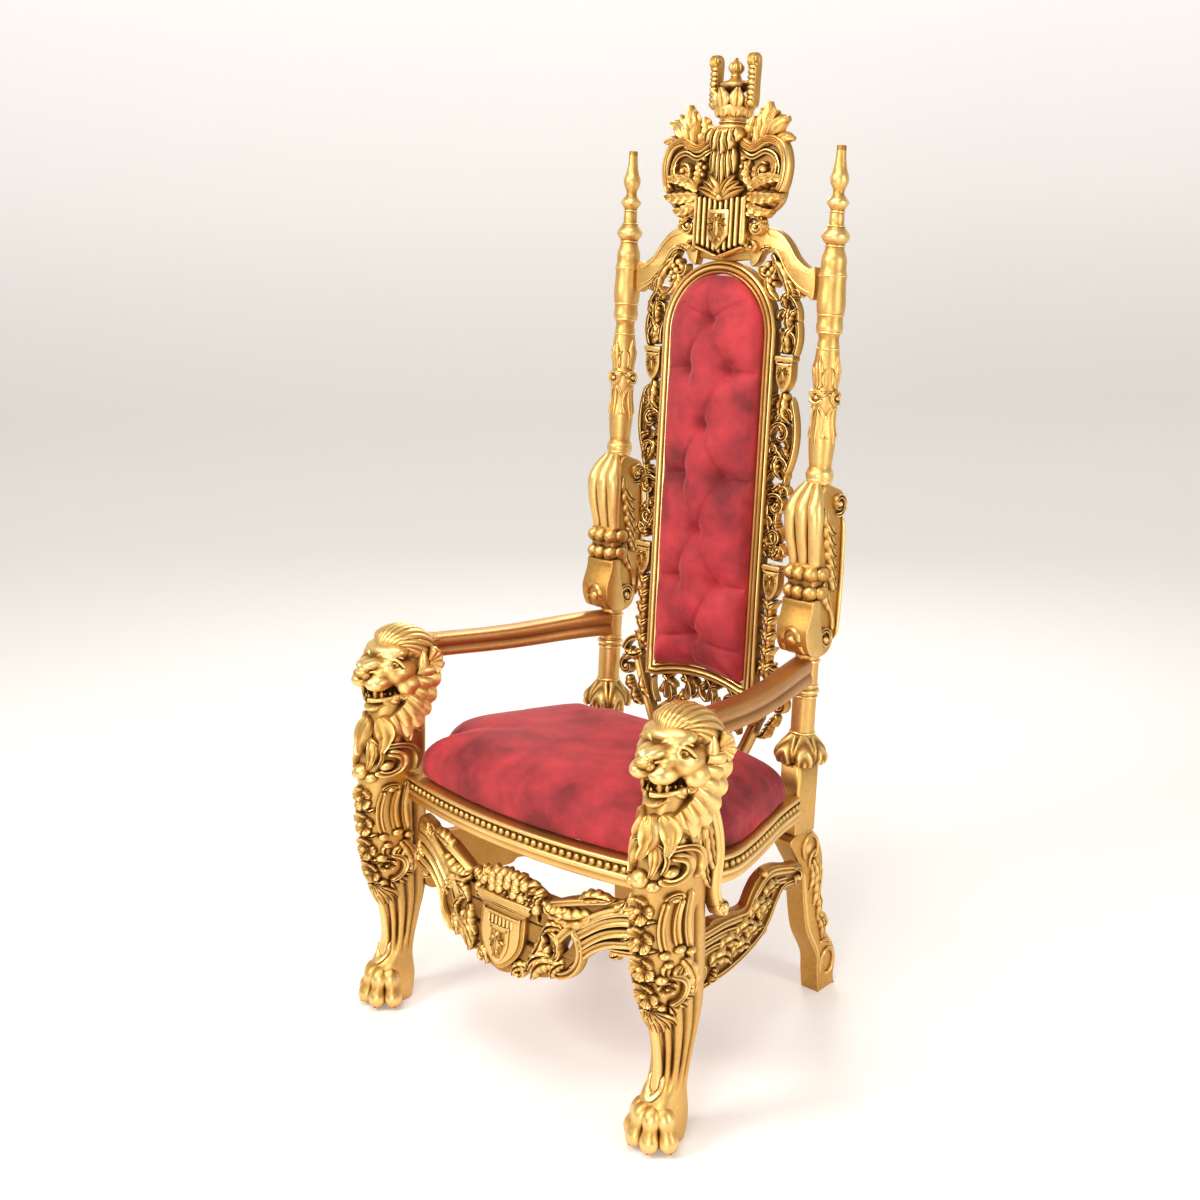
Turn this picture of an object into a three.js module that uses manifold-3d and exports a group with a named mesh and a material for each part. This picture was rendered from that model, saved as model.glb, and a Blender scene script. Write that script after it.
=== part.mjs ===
// A carved, gilded throne with a velvet seat and a tall buttoned back.
//
// Millimetres, +Z up. The sitter faces -Y. Left and right are as seen from the front.
// The origin is on the floor, under the middle of the whole throne.

import * as THREE from 'three';
import { mergeVertices } from 'three/addons/utils/BufferGeometryUtils.js';
import Module from 'manifold-3d';

const wasm = await Module();
wasm.setup();

const { sin, cos, abs, min, max, sqrt, exp, PI } = Math;
const { lerp, smoothstep, degToRad } = THREE.MathUtils;

// ---------------------------------------------------------------- driving dimensions

const GAP = 0.3;                       // left between pieces that touch
const DEPTH_SHIFT = -34.6;              // brings the middle of the depth over the origin

const RAKE = degToRad(5.71);           // the back and its posts lean backwards
const POST_X = 257.5;                  // post centres, each side of the middle
const POST_FOOT_Y = 210.5;             // where the post line meets the floor
const COLUMN = 23;                     // radius of the plain column
const LEG_X = 365;                     // front leg centres
const HEAD = { y: -205, z: 684 };      // centre of a lion head

const SEAT_FRONT = 480;                // top of the front rail
const SEAT_FALL = 30;                  // the seat drops this much towards the back
const RAIL_HIGH = 52;
const RAIL_THICK = 34;

// heights above the floor, along the back
const UP = {
  blockFoot: 366, blockTop: 505, domeTop: 560, ringLow: 645, armTop: 712, archCentre: 1310,
};
const PANEL_HALF = 115;                // half the width of the velvet panel in the back
const MOULDING = 27;                   // width of the reeded moulding round it

// ---------------------------------------------------------------- materials

const gilt = new THREE.MeshStandardMaterial({ color: 0xc79a4b, metalness: 0.85, roughness: 0.36 });
const giltBrown = new THREE.MeshStandardMaterial({ color: 0xb07a3a, metalness: 0.8, roughness: 0.4 });
const velvet = new THREE.MeshStandardMaterial({ color: 0xa8323d, metalness: 0, roughness: 0.85 });

// ---------------------------------------------------------------- shape tools

const along = (height) => height / cos(RAKE);

// a smooth curve through [key, value] pairs, held level past both ends
function profile(pairs) {
  return (key) => {
    if (key <= pairs[0][0]) return pairs[0][1];
    const last = pairs.length - 1;
    if (key >= pairs[last][0]) return pairs[last][1];
    const i = pairs.findIndex((pair) => pair[0] > key) - 1;
    const slope = (k) => {
      const a = pairs[max(k - 1, 0)];
      const b = pairs[min(k + 1, last)];
      return (b[1] - a[1]) / (b[0] - a[0]);
    };
    const span = pairs[i + 1][0] - pairs[i][0];
    const t = (key - pairs[i][0]) / span;
    const u = 1 - t;
    return u * u * (1 + 2 * t) * pairs[i][1] + t * t * (3 - 2 * t) * pairs[i + 1][1]
      + span * (t * u * u * slope(i) - t * t * u * slope(i + 1));
  };
}

function volumeOf(points, faces) {
  let volume = 0;
  for (let i = 0; i < faces.length; i += 3) {
    const [a, b, c] = [points[faces[i]], points[faces[i + 1]], points[faces[i + 2]]];
    volume += a.dot(new THREE.Vector3().crossVectors(b, c)) / 6;
  }
  return volume;
}

// A closed skin over rings of matching points. Closed rings make a hoop, others get end caps.
function skin(rings, hoop = false) {
  const sides = rings[0].length;
  const points = rings.flat();
  const faces = [];
  const spans = hoop ? rings.length : rings.length - 1;
  for (let i = 0; i < spans; i += 1) {
    const row = i * sides;
    const next = ((i + 1) % rings.length) * sides;
    for (let j = 0; j < sides; j += 1) {
      const k = (j + 1) % sides;
      faces.push(row + j, row + k, next + k, row + j, next + k, next + j);
    }
  }
  if (!hoop) {
    const cap = (start, flip) => {
      const middle = new THREE.Vector3();
      for (let j = 0; j < sides; j += 1) middle.add(points[start + j]);
      points.push(middle.divideScalar(sides));
      for (let j = 0; j < sides; j += 1) {
        const edge = [start + j, start + ((j + 1) % sides)];
        if (flip) edge.reverse();
        faces.push(...edge, points.length - 1);
      }
    };
    cap(0, true);
    cap((rings.length - 1) * sides, false);
  }
  if (volumeOf(points, faces) < 0) faces.reverse();
  const shape = new THREE.BufferGeometry();
  shape.setAttribute('position', new THREE.Float32BufferAttribute(points.flatMap((p) => [p.x, p.y, p.z]),
    3));
  shape.setIndex(faces);
  return shape;
}

// position and index alone, with shared corners merged
function bare(shape) {
  const plain = new THREE.BufferGeometry();
  plain.setAttribute('position', shape.attributes.position);
  if (shape.index) plain.setIndex(shape.index);
  return mergeVertices(plain, 1e-3);
}

function warp(shape, move) {
  const position = shape.attributes.position;
  for (let i = 0; i < position.count; i += 1) {
    position.setXYZ(i, ...move(position.getX(i), position.getY(i), position.getZ(i)));
  }
  return shape;
}

function reversed(shape) {
  const copy = shape.clone();
  copy.setIndex(Array.from(copy.index.array).reverse());
  return copy;
}

const mirrored = (shape) => warp(reversed(shape), (x, y, z) => [-x, y, z]);

function toSolid(shape) {
  const merged = bare(shape);
  return new wasm.Manifold(new wasm.Mesh({
    numProp: 3,
    vertProperties: Float32Array.from(merged.attributes.position.array),
    triVerts: Uint32Array.from(merged.index.array),
  }));
}

function toShape(solid) {
  const mesh = solid.getMesh();
  const shape = new THREE.BufferGeometry();
  shape.setAttribute('position', new THREE.BufferAttribute(mesh.vertProperties, 3));
  shape.setIndex(new THREE.BufferAttribute(mesh.triVerts, 1));
  return shape;
}

// several closed shapes carved as one
function carved(...shapes) {
  return toShape(shapes.map(toSolid).reduce((sum, part) => sum.add(part)));
}

function without(shape, ...tools) {
  return toShape(tools.map(toSolid).reduce((rest, tool) => rest.subtract(tool), toSolid(shape)));
}

const shifted = (shape, x, y, z) => shape.clone().translate(x, y, z);

// ---------------------------------------------------------------- carving motifs
// Motifs lie in a panel's own plane: x across, y up, z out of the panel.

// a C or S scroll: a tapering ridge along a spiral
function scroll({ at, radius, turn, wide, high, low = 0, steps = 5 }) {
  const rings = [];
  for (let i = 0; i <= steps; i += 1) {
    const t = i / steps;
    const angle = degToRad(lerp(turn[0], turn[1], t));
    const r = lerp(radius[0], radius[1], t);
    const half = lerp(wide[0], wide[1], t) / 2;
    const point = (side, out) => new THREE.Vector3(
      at[0] + (r + side * half) * cos(angle), at[1] + (r + side * half) * sin(angle), out,
    );
    rings.push([point(-1, low), point(-0.55, high), point(0.55, high), point(1, low)]);
  }
  return skin(rings);
}

// an acanthus leaf: a swelling blade with a flat keel, on a bent spine
function leaf({ base, tip, bend = 0, wide, high, low = 0, steps = 2 }) {
  const from = new THREE.Vector2(...base);
  const to = new THREE.Vector2(...tip);
  const across = new THREE.Vector2(from.y - to.y, to.x - from.x);
  const knee = from.clone().lerp(to, 0.5).addScaledVector(across, bend);
  const spine = new THREE.QuadraticBezierCurve(from, knee, to);
  const rings = [];
  for (let i = 0; i <= steps; i += 1) {
    const t = i / steps;
    const centre = spine.getPoint(t);
    const way = spine.getTangent(t);
    const half = wide / 2 * (0.45 + 0.9 * sin(PI * t ** 0.8)) * (1 - 0.75 * t ** 3);
    const lift = low + (high - low) * (0.75 + 0.35 * sin(PI * t) - 0.3 * t);
    const point = (side, out) => new THREE.Vector3(
      centre.x - way.y * side * half, centre.y + way.x * side * half, out,
    );
    rings.push([point(-1, low), point(-0.3, lift), point(0.3, lift), point(1, low)]);
  }
  return skin(rings);
}

// a round boss, bead, berry or flower heart
function boss(x, y, radius, high, low = 0) {
  const ring = (size, out) => {
    const edge = [];
    for (let j = 0; j < 6; j += 1) {
      edge.push(new THREE.Vector3(x + radius * size * cos(PI * j / 3),
        y + radius * size * sin(PI * j / 3), out));
    }
    return edge;
  };
  return skin([ring(1, low), ring(0.6, high)]);
}

// an open flower of five petals round a small heart
function flower(x, y, radius, high, low = 0) {
  const sides = 10;
  const ring = (size, out) => {
    const edge = [];
    for (let j = 0; j < sides; j += 1) {
      const angle = 2 * PI * j / sides;
      const petal = radius * size * (1 + 0.16 * size * cos(5 * angle));
      edge.push(new THREE.Vector3(x + petal * cos(angle), y + petal * sin(angle), out));
    }
    return edge;
  };
  return skin([ring(0.9, low), ring(1, lerp(low, high, 0.7)), ring(0.3, high)]);
}

const HOLE_SIDES = 5;

// a flat board from an outline of [x, y] points, with round-cornered holes
function board(outline, holes, low, high) {
  const shape = new THREE.Shape(outline.map(([x, y]) => new THREE.Vector2(x, y)));
  for (const [x, y, wide, tall, tilt = 0] of holes) {
    const edge = [];
    for (let j = 0; j < HOLE_SIDES; j += 1) {
      const angle = 2 * PI * j / HOLE_SIDES;
      const point = new THREE.Vector2(x + wide / 2 * cos(angle), y + tall / 2 * sin(angle));
      edge.push(point.rotateAround(new THREE.Vector2(x, y), degToRad(tilt)));
    }
    shape.holes.push(new THREE.Path(edge));
  }
  const solid = new THREE.ExtrudeGeometry(shape, { depth: high - low, bevelEnabled: false,
    curveSegments: 4 });
  return bare(solid.translate(0, 0, low));
}

// a whole outline from its right half, which starts and ends on the middle line
const bothHalves = (half) => [...half, ...half.slice(1, -1).reverse().map(([x, y]) => [-x, y])];

// a heater shield with straight shoulders
function shield(x, y, half, top, point, low, high) {
  const waist = lerp(top, point, 0.62);
  const outline = [[half, top], [half, waist], [half * 0.55, lerp(waist, point, 0.65)], [0, point]];
  const left = outline.slice(0, 3).reverse().map(([a, b]) => [-a, b]);
  return board([...outline, ...left].map(([a, b]) => [x + a, y + b]), [], low, high);
}

// panel coordinates stood upright: x across, z up, the panel's front towards -Y
const stood = (shape) => shape.rotateX(PI / 2);
const twice = (shapes) => [...shapes, ...shapes.map(mirrored)];

// ---------------------------------------------------------------- front legs

// the leg's outline: half width, front and back of each level from paw to throat
const legHalf = profile([[0, 33], [14, 42], [40, 46], [75, 45], [112, 37], [200, 37], [290, 44],
  [440, 47], [560, 46], [640, 40]]);
const legFront = profile([[0, -308], [14, -334], [40, -348], [76, -350], [100, -318], [125, -296],
  [160, -290],
  [205, -292], [270, -314], [350, -330], [450, -333], [530, -326], [575, -308], [640, -282]]);
const legBack = profile([[0, -238], [40, -229], [100, -232], [160, -212], [220, -190], [300, -180],
  [420, -176], [520, -170], [640, -160]]);

function legShaft() {
  const sides = 16;
  const levels = [0, 14, 40, 75, 98, 112, 130, 175, 225, 256, 300, 370, 450, 520, 580, 630];
  return skin(levels.map((z) => {
    const middle = (legFront(z) + legBack(z)) / 2;
    const deep = (legBack(z) - legFront(z)) / 2;
    const ring = [];
    for (let j = 0; j < sides; j += 1) {
      const angle = 2 * PI * j / sides;
      const toes = (1 - smoothstep(z, 70, 108)) * 0.06 * cos(8 * angle) * max(0, cos(angle) + 0.25);
      const flutes = smoothstep(z, 108, 125) * (1 - smoothstep(z, 250, 262)) * 0.05 * cos(8 * angle);
      const reach = 1 + toes + flutes;
      const square = 1 / (abs(sin(angle)) ** 2.2 + abs(cos(angle)) ** 2.2) ** (1 / 2.2);
      ring.push(new THREE.Vector3(
        legHalf(z) * sin(angle) * reach * square,
        middle - deep * cos(angle) * reach * square,
        z,
      ));
    }
    return ring;
  }));
}

// the masses of a lion head: [across, forwards, up, and their three radii]
const HEAD_MASSES = [
  [0, 5, 12, 54, 58, 54], [24, 76, -2, 25, 30, 21], [0, 62, 28, 18, 44, 18], [30, 50, 50, 18, 22, 12],
  [50, 26, -10, 22, 32, 26], [0, 58, -52, 30, 38, 13], [0, 8, 68, 44, 56, 20], [60, -18, -4, 14, 26, 52],
  [0, -6, -66, 50, 44, 42], [0, 104, 14, 13, 16, 11],
];

function headField(x, forward, up) {
  let field = 0;
  for (const [a, f, u, ra, rf, ru] of HEAD_MASSES) {
    for (const side of a > 0 ? [-1, 1] : [1]) {
      const q = ((x - side * a) / ra) ** 2 + ((forward - f) / rf) ** 2 + ((up - u) / ru) ** 2;
      field += exp(3.2 * (1 - q));
    }
  }
  return field;
}

// the skin of the head: how far each direction from its centre runs before it leaves the masses
function lionHead() {
  const around = 18;
  const tall = 12;
  const rings = [];
  for (let i = 1; i < tall; i += 1) {
    const rise = PI * (i / tall - 0.5);
    const ring = [];
    for (let j = 0; j < around; j += 1) {
      const turn = 2 * PI * j / around;
      const way = [cos(rise) * sin(turn), cos(rise) * cos(turn), sin(rise)];
      let near = 20;
      let far = 150;
      for (let step = 0; step < 16; step += 1) {
        const reach = (near + far) / 2;
        if (headField(way[0] * reach, way[1] * reach, way[2] * reach) > 1) near = reach;
        else far = reach;
      }
      ring.push(new THREE.Vector3(way[0] * near, HEAD.y - way[1] * near, HEAD.z + way[2] * near));
    }
    rings.push(ring);
  }
  return skin(rings);
}

// flowers, straps, a leaf and balls that stand on the front and the outer side of the leg
function legCarving() {
  const parts = [];
  for (const z of [445, 392, 337, 286]) parts.push(stood(flower(0, 0, 24, 16, -12)).translate(0,
    legFront(z) + 3, z));
  for (const side of [-1, 1]) {
    parts.push(stood(boss(side * 17, 0, 17, 17, -14)).translate(0, legFront(495) + 2, 497));
    parts.push(stood(leaf({ base: [side * 8, 500], tip: [side * 30, 592],
      bend: side * 0.1, wide: 34, high: 12, low: -14 }))
      .translate(0, legFront(560) + 6, 0));
  }
  const curl = scroll({ at: [0, 0], radius: [150, 150], turn: [-2, -40], wide: [22, 30],
    high: 10, low: -12, steps: 4 });
  parts.push(warp(curl, (x, y, z) => [legHalf(470) + z - 2, -318 + x, 470 + y]));
  return parts;
}

const frontLeg = carved(legShaft(), lionHead(), ...legCarving());

// ---------------------------------------------------------------- posts, consoles and poles
// These stand in the raked frame: z runs up along the post.

const lathe = (pairs, sides) => new THREE.LatheGeometry(
  [[0, pairs[0][1]], ...pairs, [0, pairs[pairs.length - 1][1]]].map(([r, h]) => new THREE.Vector2(r, h)),
    sides,
).rotateX(PI / 2);

function post() {
  const low = along(UP.blockFoot);
  const top = along(UP.blockTop);
  const block = new THREE.BoxGeometry(47, 65, top - low).translate(0, 0, (low + top) / 2);
  const around = 16;
  const dome = skin([[0, 40], [12, 49], [30, 42], [48, 28], [60, 20]].map(([rise, radius]) => {
    const ring = [];
    for (let j = 0; j < around; j += 1) {
      const angle = 2 * PI * j / around;
      const petal = 1 + 0.07 * cos(8 * angle) * smoothstep(radius, 26, 50);
      const square = 1 / (abs(sin(angle)) ** 4 + abs(cos(angle)) ** 4) ** 0.25;
      const droop = 6 * cos(8 * angle) * smoothstep(radius, 30, 49);
      ring.push(new THREE.Vector3(radius * petal * square * cos(angle),
        radius * petal * square * sin(angle),
        top + rise - droop));
    }
    return ring;
  }));
  const ring = along(UP.ringLow);
  const column = lathe([[COLUMN, along(UP.domeTop) - 20], [COLUMN, ring - 12], [COLUMN + 4, ring - 9],
    [COLUMN + 4, ring - 2],
    [COLUMN + 1, ring], [COLUMN + 4, ring + 9], [COLUMN, ring + 12], [COLUMN, along(UP.armTop)]], 10);
  return carved(block, dome, column);
}

// the bracket on the column: a fluted bell, two rows of balls, a smooth panel and volutes
function console_() {
  const floor = along(UP.armTop) + GAP;
  const front = profile([[along(720), -22], [along(728), -44], [along(750), -54], [along(775), -54],
    [along(800), -44],
    [along(822), -46], [along(828), -52], [along(838), -58], [along(850), -44], [along(857), -42],
      [along(866), -50],
    [along(876), -60], [along(890), -46], [along(900), -44], [along(960), -54], [along(1000), -52],
    [along(1025), -38], [along(1040), -29]]);
  const half = profile([[along(720), 30], [along(745), 35], [along(800), 33], [along(838), 38],
    [along(856), 34],
    [along(876), 39], [along(900), 33], [along(960), 37], [along(1000), 37], [along(1040), 28]]);
  const back = profile([[along(720), 18], [along(745), 34], [along(800), 40], [along(960), 40],
    [along(1000), 32], [along(1040), 26]]);
  const levels = [712, 724, 745, 775, 800, 822, 838, 856, 876, 896, 950, 1000, 1028, 1045];
  const body = skin(levels.map((z, i) => {
    const h = i === 0 ? floor : along(z);
    const bell = smoothstep(z, 890, 905) * (1 - smoothstep(z, 1015, 1045));
    const balls = exp(-(((z - 838) / 9) ** 2)) + exp(-(((z - 876) / 9) ** 2));
    const ring = [];
    const lobes = 6;
    for (let j = 0; j <= lobes; j += 1) {
      const across = lerp(-1, 1, j / lobes);
      const hollow = (1 - abs(cos(1.5 * PI * across))) * (7 * bell + 8 * balls);
      const round = 10 * across ** 4;
      ring.push(new THREE.Vector3(half(h) * across, front(h) + hollow + round, h));
    }
    ring.push(new THREE.Vector3(half(h) * 0.9, back(h), h));
    ring.push(new THREE.Vector3(-half(h) * 0.9, back(h), h));
    return ring;
  }));
  const volute = (radius, wide, depth, z) => {
    const drum = new THREE.CylinderGeometry(radius, radius, wide, 10).rotateZ(PI / 2);
    return drum.translate(0, depth, along(z));
  };
  const spine = new THREE.BoxGeometry(66, 12, along(955) - along(740)).translate(0, 42,
    (along(955) + along(740)) / 2);
  return carved(body, volute(25, 78, 20, 1008), volute(26, 74, 4, 748), spine);
}

// the turned pole above the console, with a carved knot of ribbon at half height
function pole() {
  const turned = [[25, 1045], [25, 1070], [21, 1074], [26, 1125], [22, 1182], [28, 1198], [28, 1215],
    [23, 1236],
    [26, 1262], [20.5, 1300], [20.5, 1322], [25, 1328], [28, 1355], [26, 1362], [26, 1428], [28, 1434],
    [18, 1487], [28, 1502], [16, 1522], [14, 1550], [23, 1563], [11, 1580], [17.5, 1604], [10.5, 1638],
    [9, 1665]].map(([r, z]) => [r, along(z)]);
  turned[0][1] += GAP;
  const shaft = lathe(turned, 8);
  const knot = [];
  for (const side of [-1, 1]) {
    knot.push(stood(boss(side * 14, along(1206), 15, 12, -8)).translate(0, -14, 0));
  }
  knot.push(stood(boss(0, along(1206), 10, 16, -8)).translate(0, -14, 0));
  return carved(shaft, ...knot);
}

// ---------------------------------------------------------------- arms

// where the arm runs into the column, and how far it dips there to pass under the console
const ARM_REAR = 262;
const ARM_DIP = 6;

// a flat arm with a long groove on each side, from the mane back to the column
function arm() {
  const steps = 6;
  const rings = [];
  for (let i = 0; i <= steps; i += 1) {
    const t = i / steps;
    const x = LEG_X - 6 - 98 * t ** 1.5;
    const y = lerp(-200, ARM_REAR, t);
    const top = lerp(744, 719, sin(PI * t / 2)) - 6 * sin(PI * t) ** 2 - ARM_DIP * t ** 6;
    const half = lerp(27, 24, t);
    const tall = lerp(38, 46, t ** 3);
    const groove = 5;
    const section = [[-half, 0], [-half + groove, -tall / 2], [-half, -tall], [half, -tall],
      [half - groove, -tall / 2], [half, 0],
      [half - 8, 5], [-half + 8, 5]];
    rings.push(section.map(([a, b]) => new THREE.Vector3(x + a, y, top - 5 + b)));
  }
  return skin(rings);
}

// ---------------------------------------------------------------- seat rails

// where each side rail meets the front of its post
const RAIL_REAR = 217;

const railTop = (y) => SEAT_FRONT - SEAT_FALL * (y + 285) / 495;
const frontBow = (x) => -286 + 42 * (x / 327) ** 2;
const sideBow = profile([[-200, 352], [-150, 369], [-90, 379], [-20, 364], [60, 338], [130, 314],
  [215, 292]]);

// the rail's moulded face: [out from the path, down from the top]
const RAIL_FACE = [[-RAIL_THICK, 0], [0, 0], [-4, -8], [1, -15], [-4, -23], [0, -32], [-5, -RAIL_HIGH],
  [-RAIL_THICK, -RAIL_HIGH]];

function rail(path) {
  return skin(path.map(({ x, y, out }) => RAIL_FACE.map(([a, b]) => new THREE.Vector3(
    x + a * out[0], y + a * out[1], railTop(y + a * out[1]) + b,
  ))));
}

function frontRail() {
  const path = [];
  for (let i = 0; i <= 10; i += 1) {
    const x = lerp(20 - LEG_X, LEG_X - 20, i / 10);
    path.push({ x, y: frontBow(x), out: [0, -1] });
  }
  return rail(path);
}

function sideRail() {
  const path = [];
  for (let i = 0; i <= 9; i += 1) {
    const y = lerp(-190, RAIL_REAR, i / 9);
    path.push({ x: sideBow(y), y, out: [1, 0] });
  }
  return rail(path);
}

// ---------------------------------------------------------------- rear legs

function rearLeg() {
  const back = [[276, 360], [300, 320], [311, 276], [304, 200], [304, 178], [319, 166], [329, 144],
    [320, 125],
    [345, 89], [357, 52], [347, 20], [351, 0]];
  const front = [[297, 0], [293, 71], [284, 96], [257, 148], [246, 214], [240, 284], [213, 327],
    [203, 357]];
  const shin = board([...front, ...back], [], -20, 23.5);
  const carving = [
    scroll({ at: [262, 322], radius: [26, 10], turn: [20, 330], wide: [10, 8], high: 29, low: 20 }),
    scroll({ at: [322, 62], radius: [22, 9], turn: [-60, 250], wide: [10, 8], high: 29, low: 20 }),
    leaf({ base: [276, 288], tip: [284, 190], bend: 0.12, wide: 26, high: 30, low: 20 }),
  ];
  return warp(carved(shin, ...carving), (u, v, w) => [w, u, v]);
}

// ---------------------------------------------------------------- stretchers

// the pierced apron between the front legs, with a shield, a fruit cartouche and scrolling acanthus
function frontStretcher() {
  const half = [[0, 386], [24, 384], [58, 374], [88, 360], [84, 348], [98, 354], [120, 366], [140, 374],
    [180, 388],
    [235, 392], [255, 402], [305, 395], [305, 304], [277, 304], [258, 295], [235, 303], [205, 291],
      [172, 268],
    [150, 243], [115, 218], [81, 211], [62, 213], [27, 200], [0, 194]];
  const holes = [[76, 246, 16, 28, -20], [104, 286, 14, 30, 30], [146, 292, 14, 40, -30],
    [198, 334, 20, 12, 40],
    [80, 318, 10, 18, 0]];
  const mirroredHoles = holes.map(([x, y, wide, tall, tilt]) => [-x, y, wide, tall, -tilt]);
  const plate = board(bothHalves(half), [...holes, ...mirroredHoles], -14, 8);
  const side = [
    scroll({ at: [254, 300], radius: [88, 80], turn: [72, 150], wide: [18, 20], high: 17, steps: 4 }),
    scroll({ at: [128, 280], radius: [56, 26], turn: [-100, 60], wide: [16, 12], high: 16 }),
    leaf({ base: [180, 356], tip: [112, 346], bend: 0.16, wide: 32, high: 20 }),
    leaf({ base: [118, 262], tip: [88, 222], bend: -0.3, wide: 34, high: 18 }),
  ];
  const centre = [
    shield(0, 0, 57, 327, 206, 0, 18), shield(0, 0, 30, 306, 236, 0, 24),
    board([[-64, 326], [64, 326], [64, 340], [-64, 340]], [], 0, 22),
    boss(0, 366, 19, 22), boss(34, 361, 16, 20), boss(-34, 361, 16, 20), boss(66, 354, 13, 18),
      boss(-66, 354, 13, 18),
  ];
  const bow = 36;
  const lean = 0.18;
  return warp(stood(carved(plate, ...twice(side), ...centre)), (x, y, z) => [
    x, y - 280 - lean * (337 - z) + bow * (x / 290) ** 2, z,
  ]);
}

// the serpentine apron between a front and a rear leg; the panel's x is the throne's y
function sideStretcher() {
  const top = [[-205, 322], [-160, 330], [-115, 327], [-66, 324], [-20, 316], [10, 312], [34, 332],
    [56, 346],
    [90, 354], [130, 346], [170, 330], [222, 312]];
  const bottom = [[222, 268], [172, 272], [150, 286], [128, 288], [108, 262], [86, 230], [46, 216],
    [4, 212],
    [-40, 214], [-82, 204], [-112, 208], [-132, 214], [-170, 212], [-205, 230]];
  const holes = [[-60, 266, 40, 12, 10], [6, 262, 34, 12, 30], [60, 290, 32, 12, 50],
    [-112, 250, 16, 20, 0]];
  const plate = board([...top, ...bottom], holes, -12, 9);
  const carving = [
    scroll({ at: [-112, 268], radius: [50, 16], turn: [110, 380], wide: [18, 10], high: 16, steps: 8 }),
    scroll({ at: [120, 300], radius: [42, 14], turn: [130, -110], wide: [16, 10], high: 16 }),
    leaf({ base: [-50, 262], tip: [20, 230], bend: 0.2, wide: 34, high: 18 }),
  ];
  return warp(carved(plate, ...carving), (u, v, w) => [lerp(344, 286, (u + 205) / 427) + w, u, v]);
}

// ---------------------------------------------------------------- seat and back cushions

// the plan of the seat, right half, from the middle of the front to the middle of the back
const SEAT_PLAN = [[0, -281], [110, -276], [215, -262], [302, -240], [303, -208], [306, -168], [340, -146],
  [374, -90], [360, -20], [335, 60], [311, 130], [290, 186], [262, 190], [222, 196], [206, 212], [110, 214],
  [0, 214]];

function seatCushion() {
  const outline = bothHalves(SEAT_PLAN);
  const centre = [0, -34];
  const layers = [[0.985, 0], [1, 12], [1.004, 30], [0.985, 54], [0.93, 74], [0.8, 92], [0.55, 106],
    [0.25, 113]];
  return skin(layers.map(([size, rise]) => outline.map(([x, y]) => new THREE.Vector3(
    centre[0] + (x - centre[0]) * size,
    centre[1] + (y - centre[1]) * size,
    railTop(y) + GAP + rise,
  ))));
}

// button positions on the back, as [across, height]: a middle column and one at each side
const BUTTONS = [[0, 1335], [0, 1130], [0, 920], [0, 710]];
for (const z of [1240, 1030, 820]) BUTTONS.push([51, z], [-51, z]);

const panelFoot = (x) => along(645) - 20 * (x / PANEL_HALF) ** 2;

function backCushion() {
  const half = PANEL_HALF - GAP;
  const centre = along(UP.archCentre);
  const foot = panelFoot(PANEL_HALF) + GAP;
  const rows = [];
  for (let i = 0; i <= 14; i += 1) rows.push(lerp(foot, centre, i / 14));
  for (const turn of [20, 40, 60, 80]) rows.push(centre + half * sin(degToRad(turn)));
  const pad = skin(rows.map((h) => {
    const wide = h > centre ? sqrt(half ** 2 - (h - centre) ** 2) : half;
    const ring = [-1, -0.8, -0.44, 0, 0.44, 0.8, 1].map((u) => {
      const x = u * wide;
      const edge = max(min(1 - abs(u), (h - panelFoot(x)) / half, (centre + half - h) / half), 0);
      const swell = 26 + 40 * (1 - (1 - min(edge * 2.6, 1)) ** 2);
      let pull = 0;
      for (const [bx, bz] of BUTTONS) pull += exp(-(((x - bx) / 20) ** 2) - ((h - along(bz)) / 22) ** 2);
      return new THREE.Vector3(x, -swell + 22 * min(pull, 1), h);
    });
    ring.push(new THREE.Vector3(wide, -2, h), new THREE.Vector3(-wide, -2, h));
    return ring;
  }));
  const under = [[-PANEL_HALF - 5, foot - 5], [PANEL_HALF + 5, foot - 5]];
  for (const u of [1, 0.5, 0, -0.5, -1]) under.push([u * PANEL_HALF, panelFoot(u * PANEL_HALF) + GAP]);
  return without(pad, stood(board(under, [], -10, 90)));
}

// ---------------------------------------------------------------- back frame

// the reeded moulding: up one side, over the arch, down the other and along the arched foot
function moulding() {
  const centre = along(UP.archCentre);
  const stations = [];
  for (const turn of [0, 20, 40, 60, 80, 100, 120, 140, 160, 180]) {
    const angle = degToRad(turn);
    stations.push({ x: PANEL_HALF * cos(angle), z: centre + PANEL_HALF * sin(angle), out: [cos(angle),
      sin(angle)] });
  }
  stations.push({ x: -PANEL_HALF, z: 1000, out: [-1, 0] });
  for (let i = 0; i <= 4; i += 1) {
    const x = lerp(-PANEL_HALF, PANEL_HALF, i / 4);
    const corner = abs(x) === PANEL_HALF ? Math.sign(x) : 0;
    stations.push({ x, z: panelFoot(x), out: [corner, -1] });
  }
  stations.push({ x: PANEL_HALF, z: 1000, out: [1, 0] });
  const section = [[0, -2], [2, 17], [9, 14], [14, 19], [19, 14], [25, 17], [MOULDING, -9]];
  return skin(stations.map(({ x, z, out }) => section.map(([a, w]) => new THREE.Vector3(
    x + a * out[0], z + a * out[1], w,
  ))), true);
}

// One side of the pierced fretwork between the moulding and the post. Its outer edge swells and
// dips with the scrolls; below the lower shield it is a chain of laurel leaves.
const FRET_IN = PANEL_HALF + MOULDING - 3;
const FRET_WIDE = 50;

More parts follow.
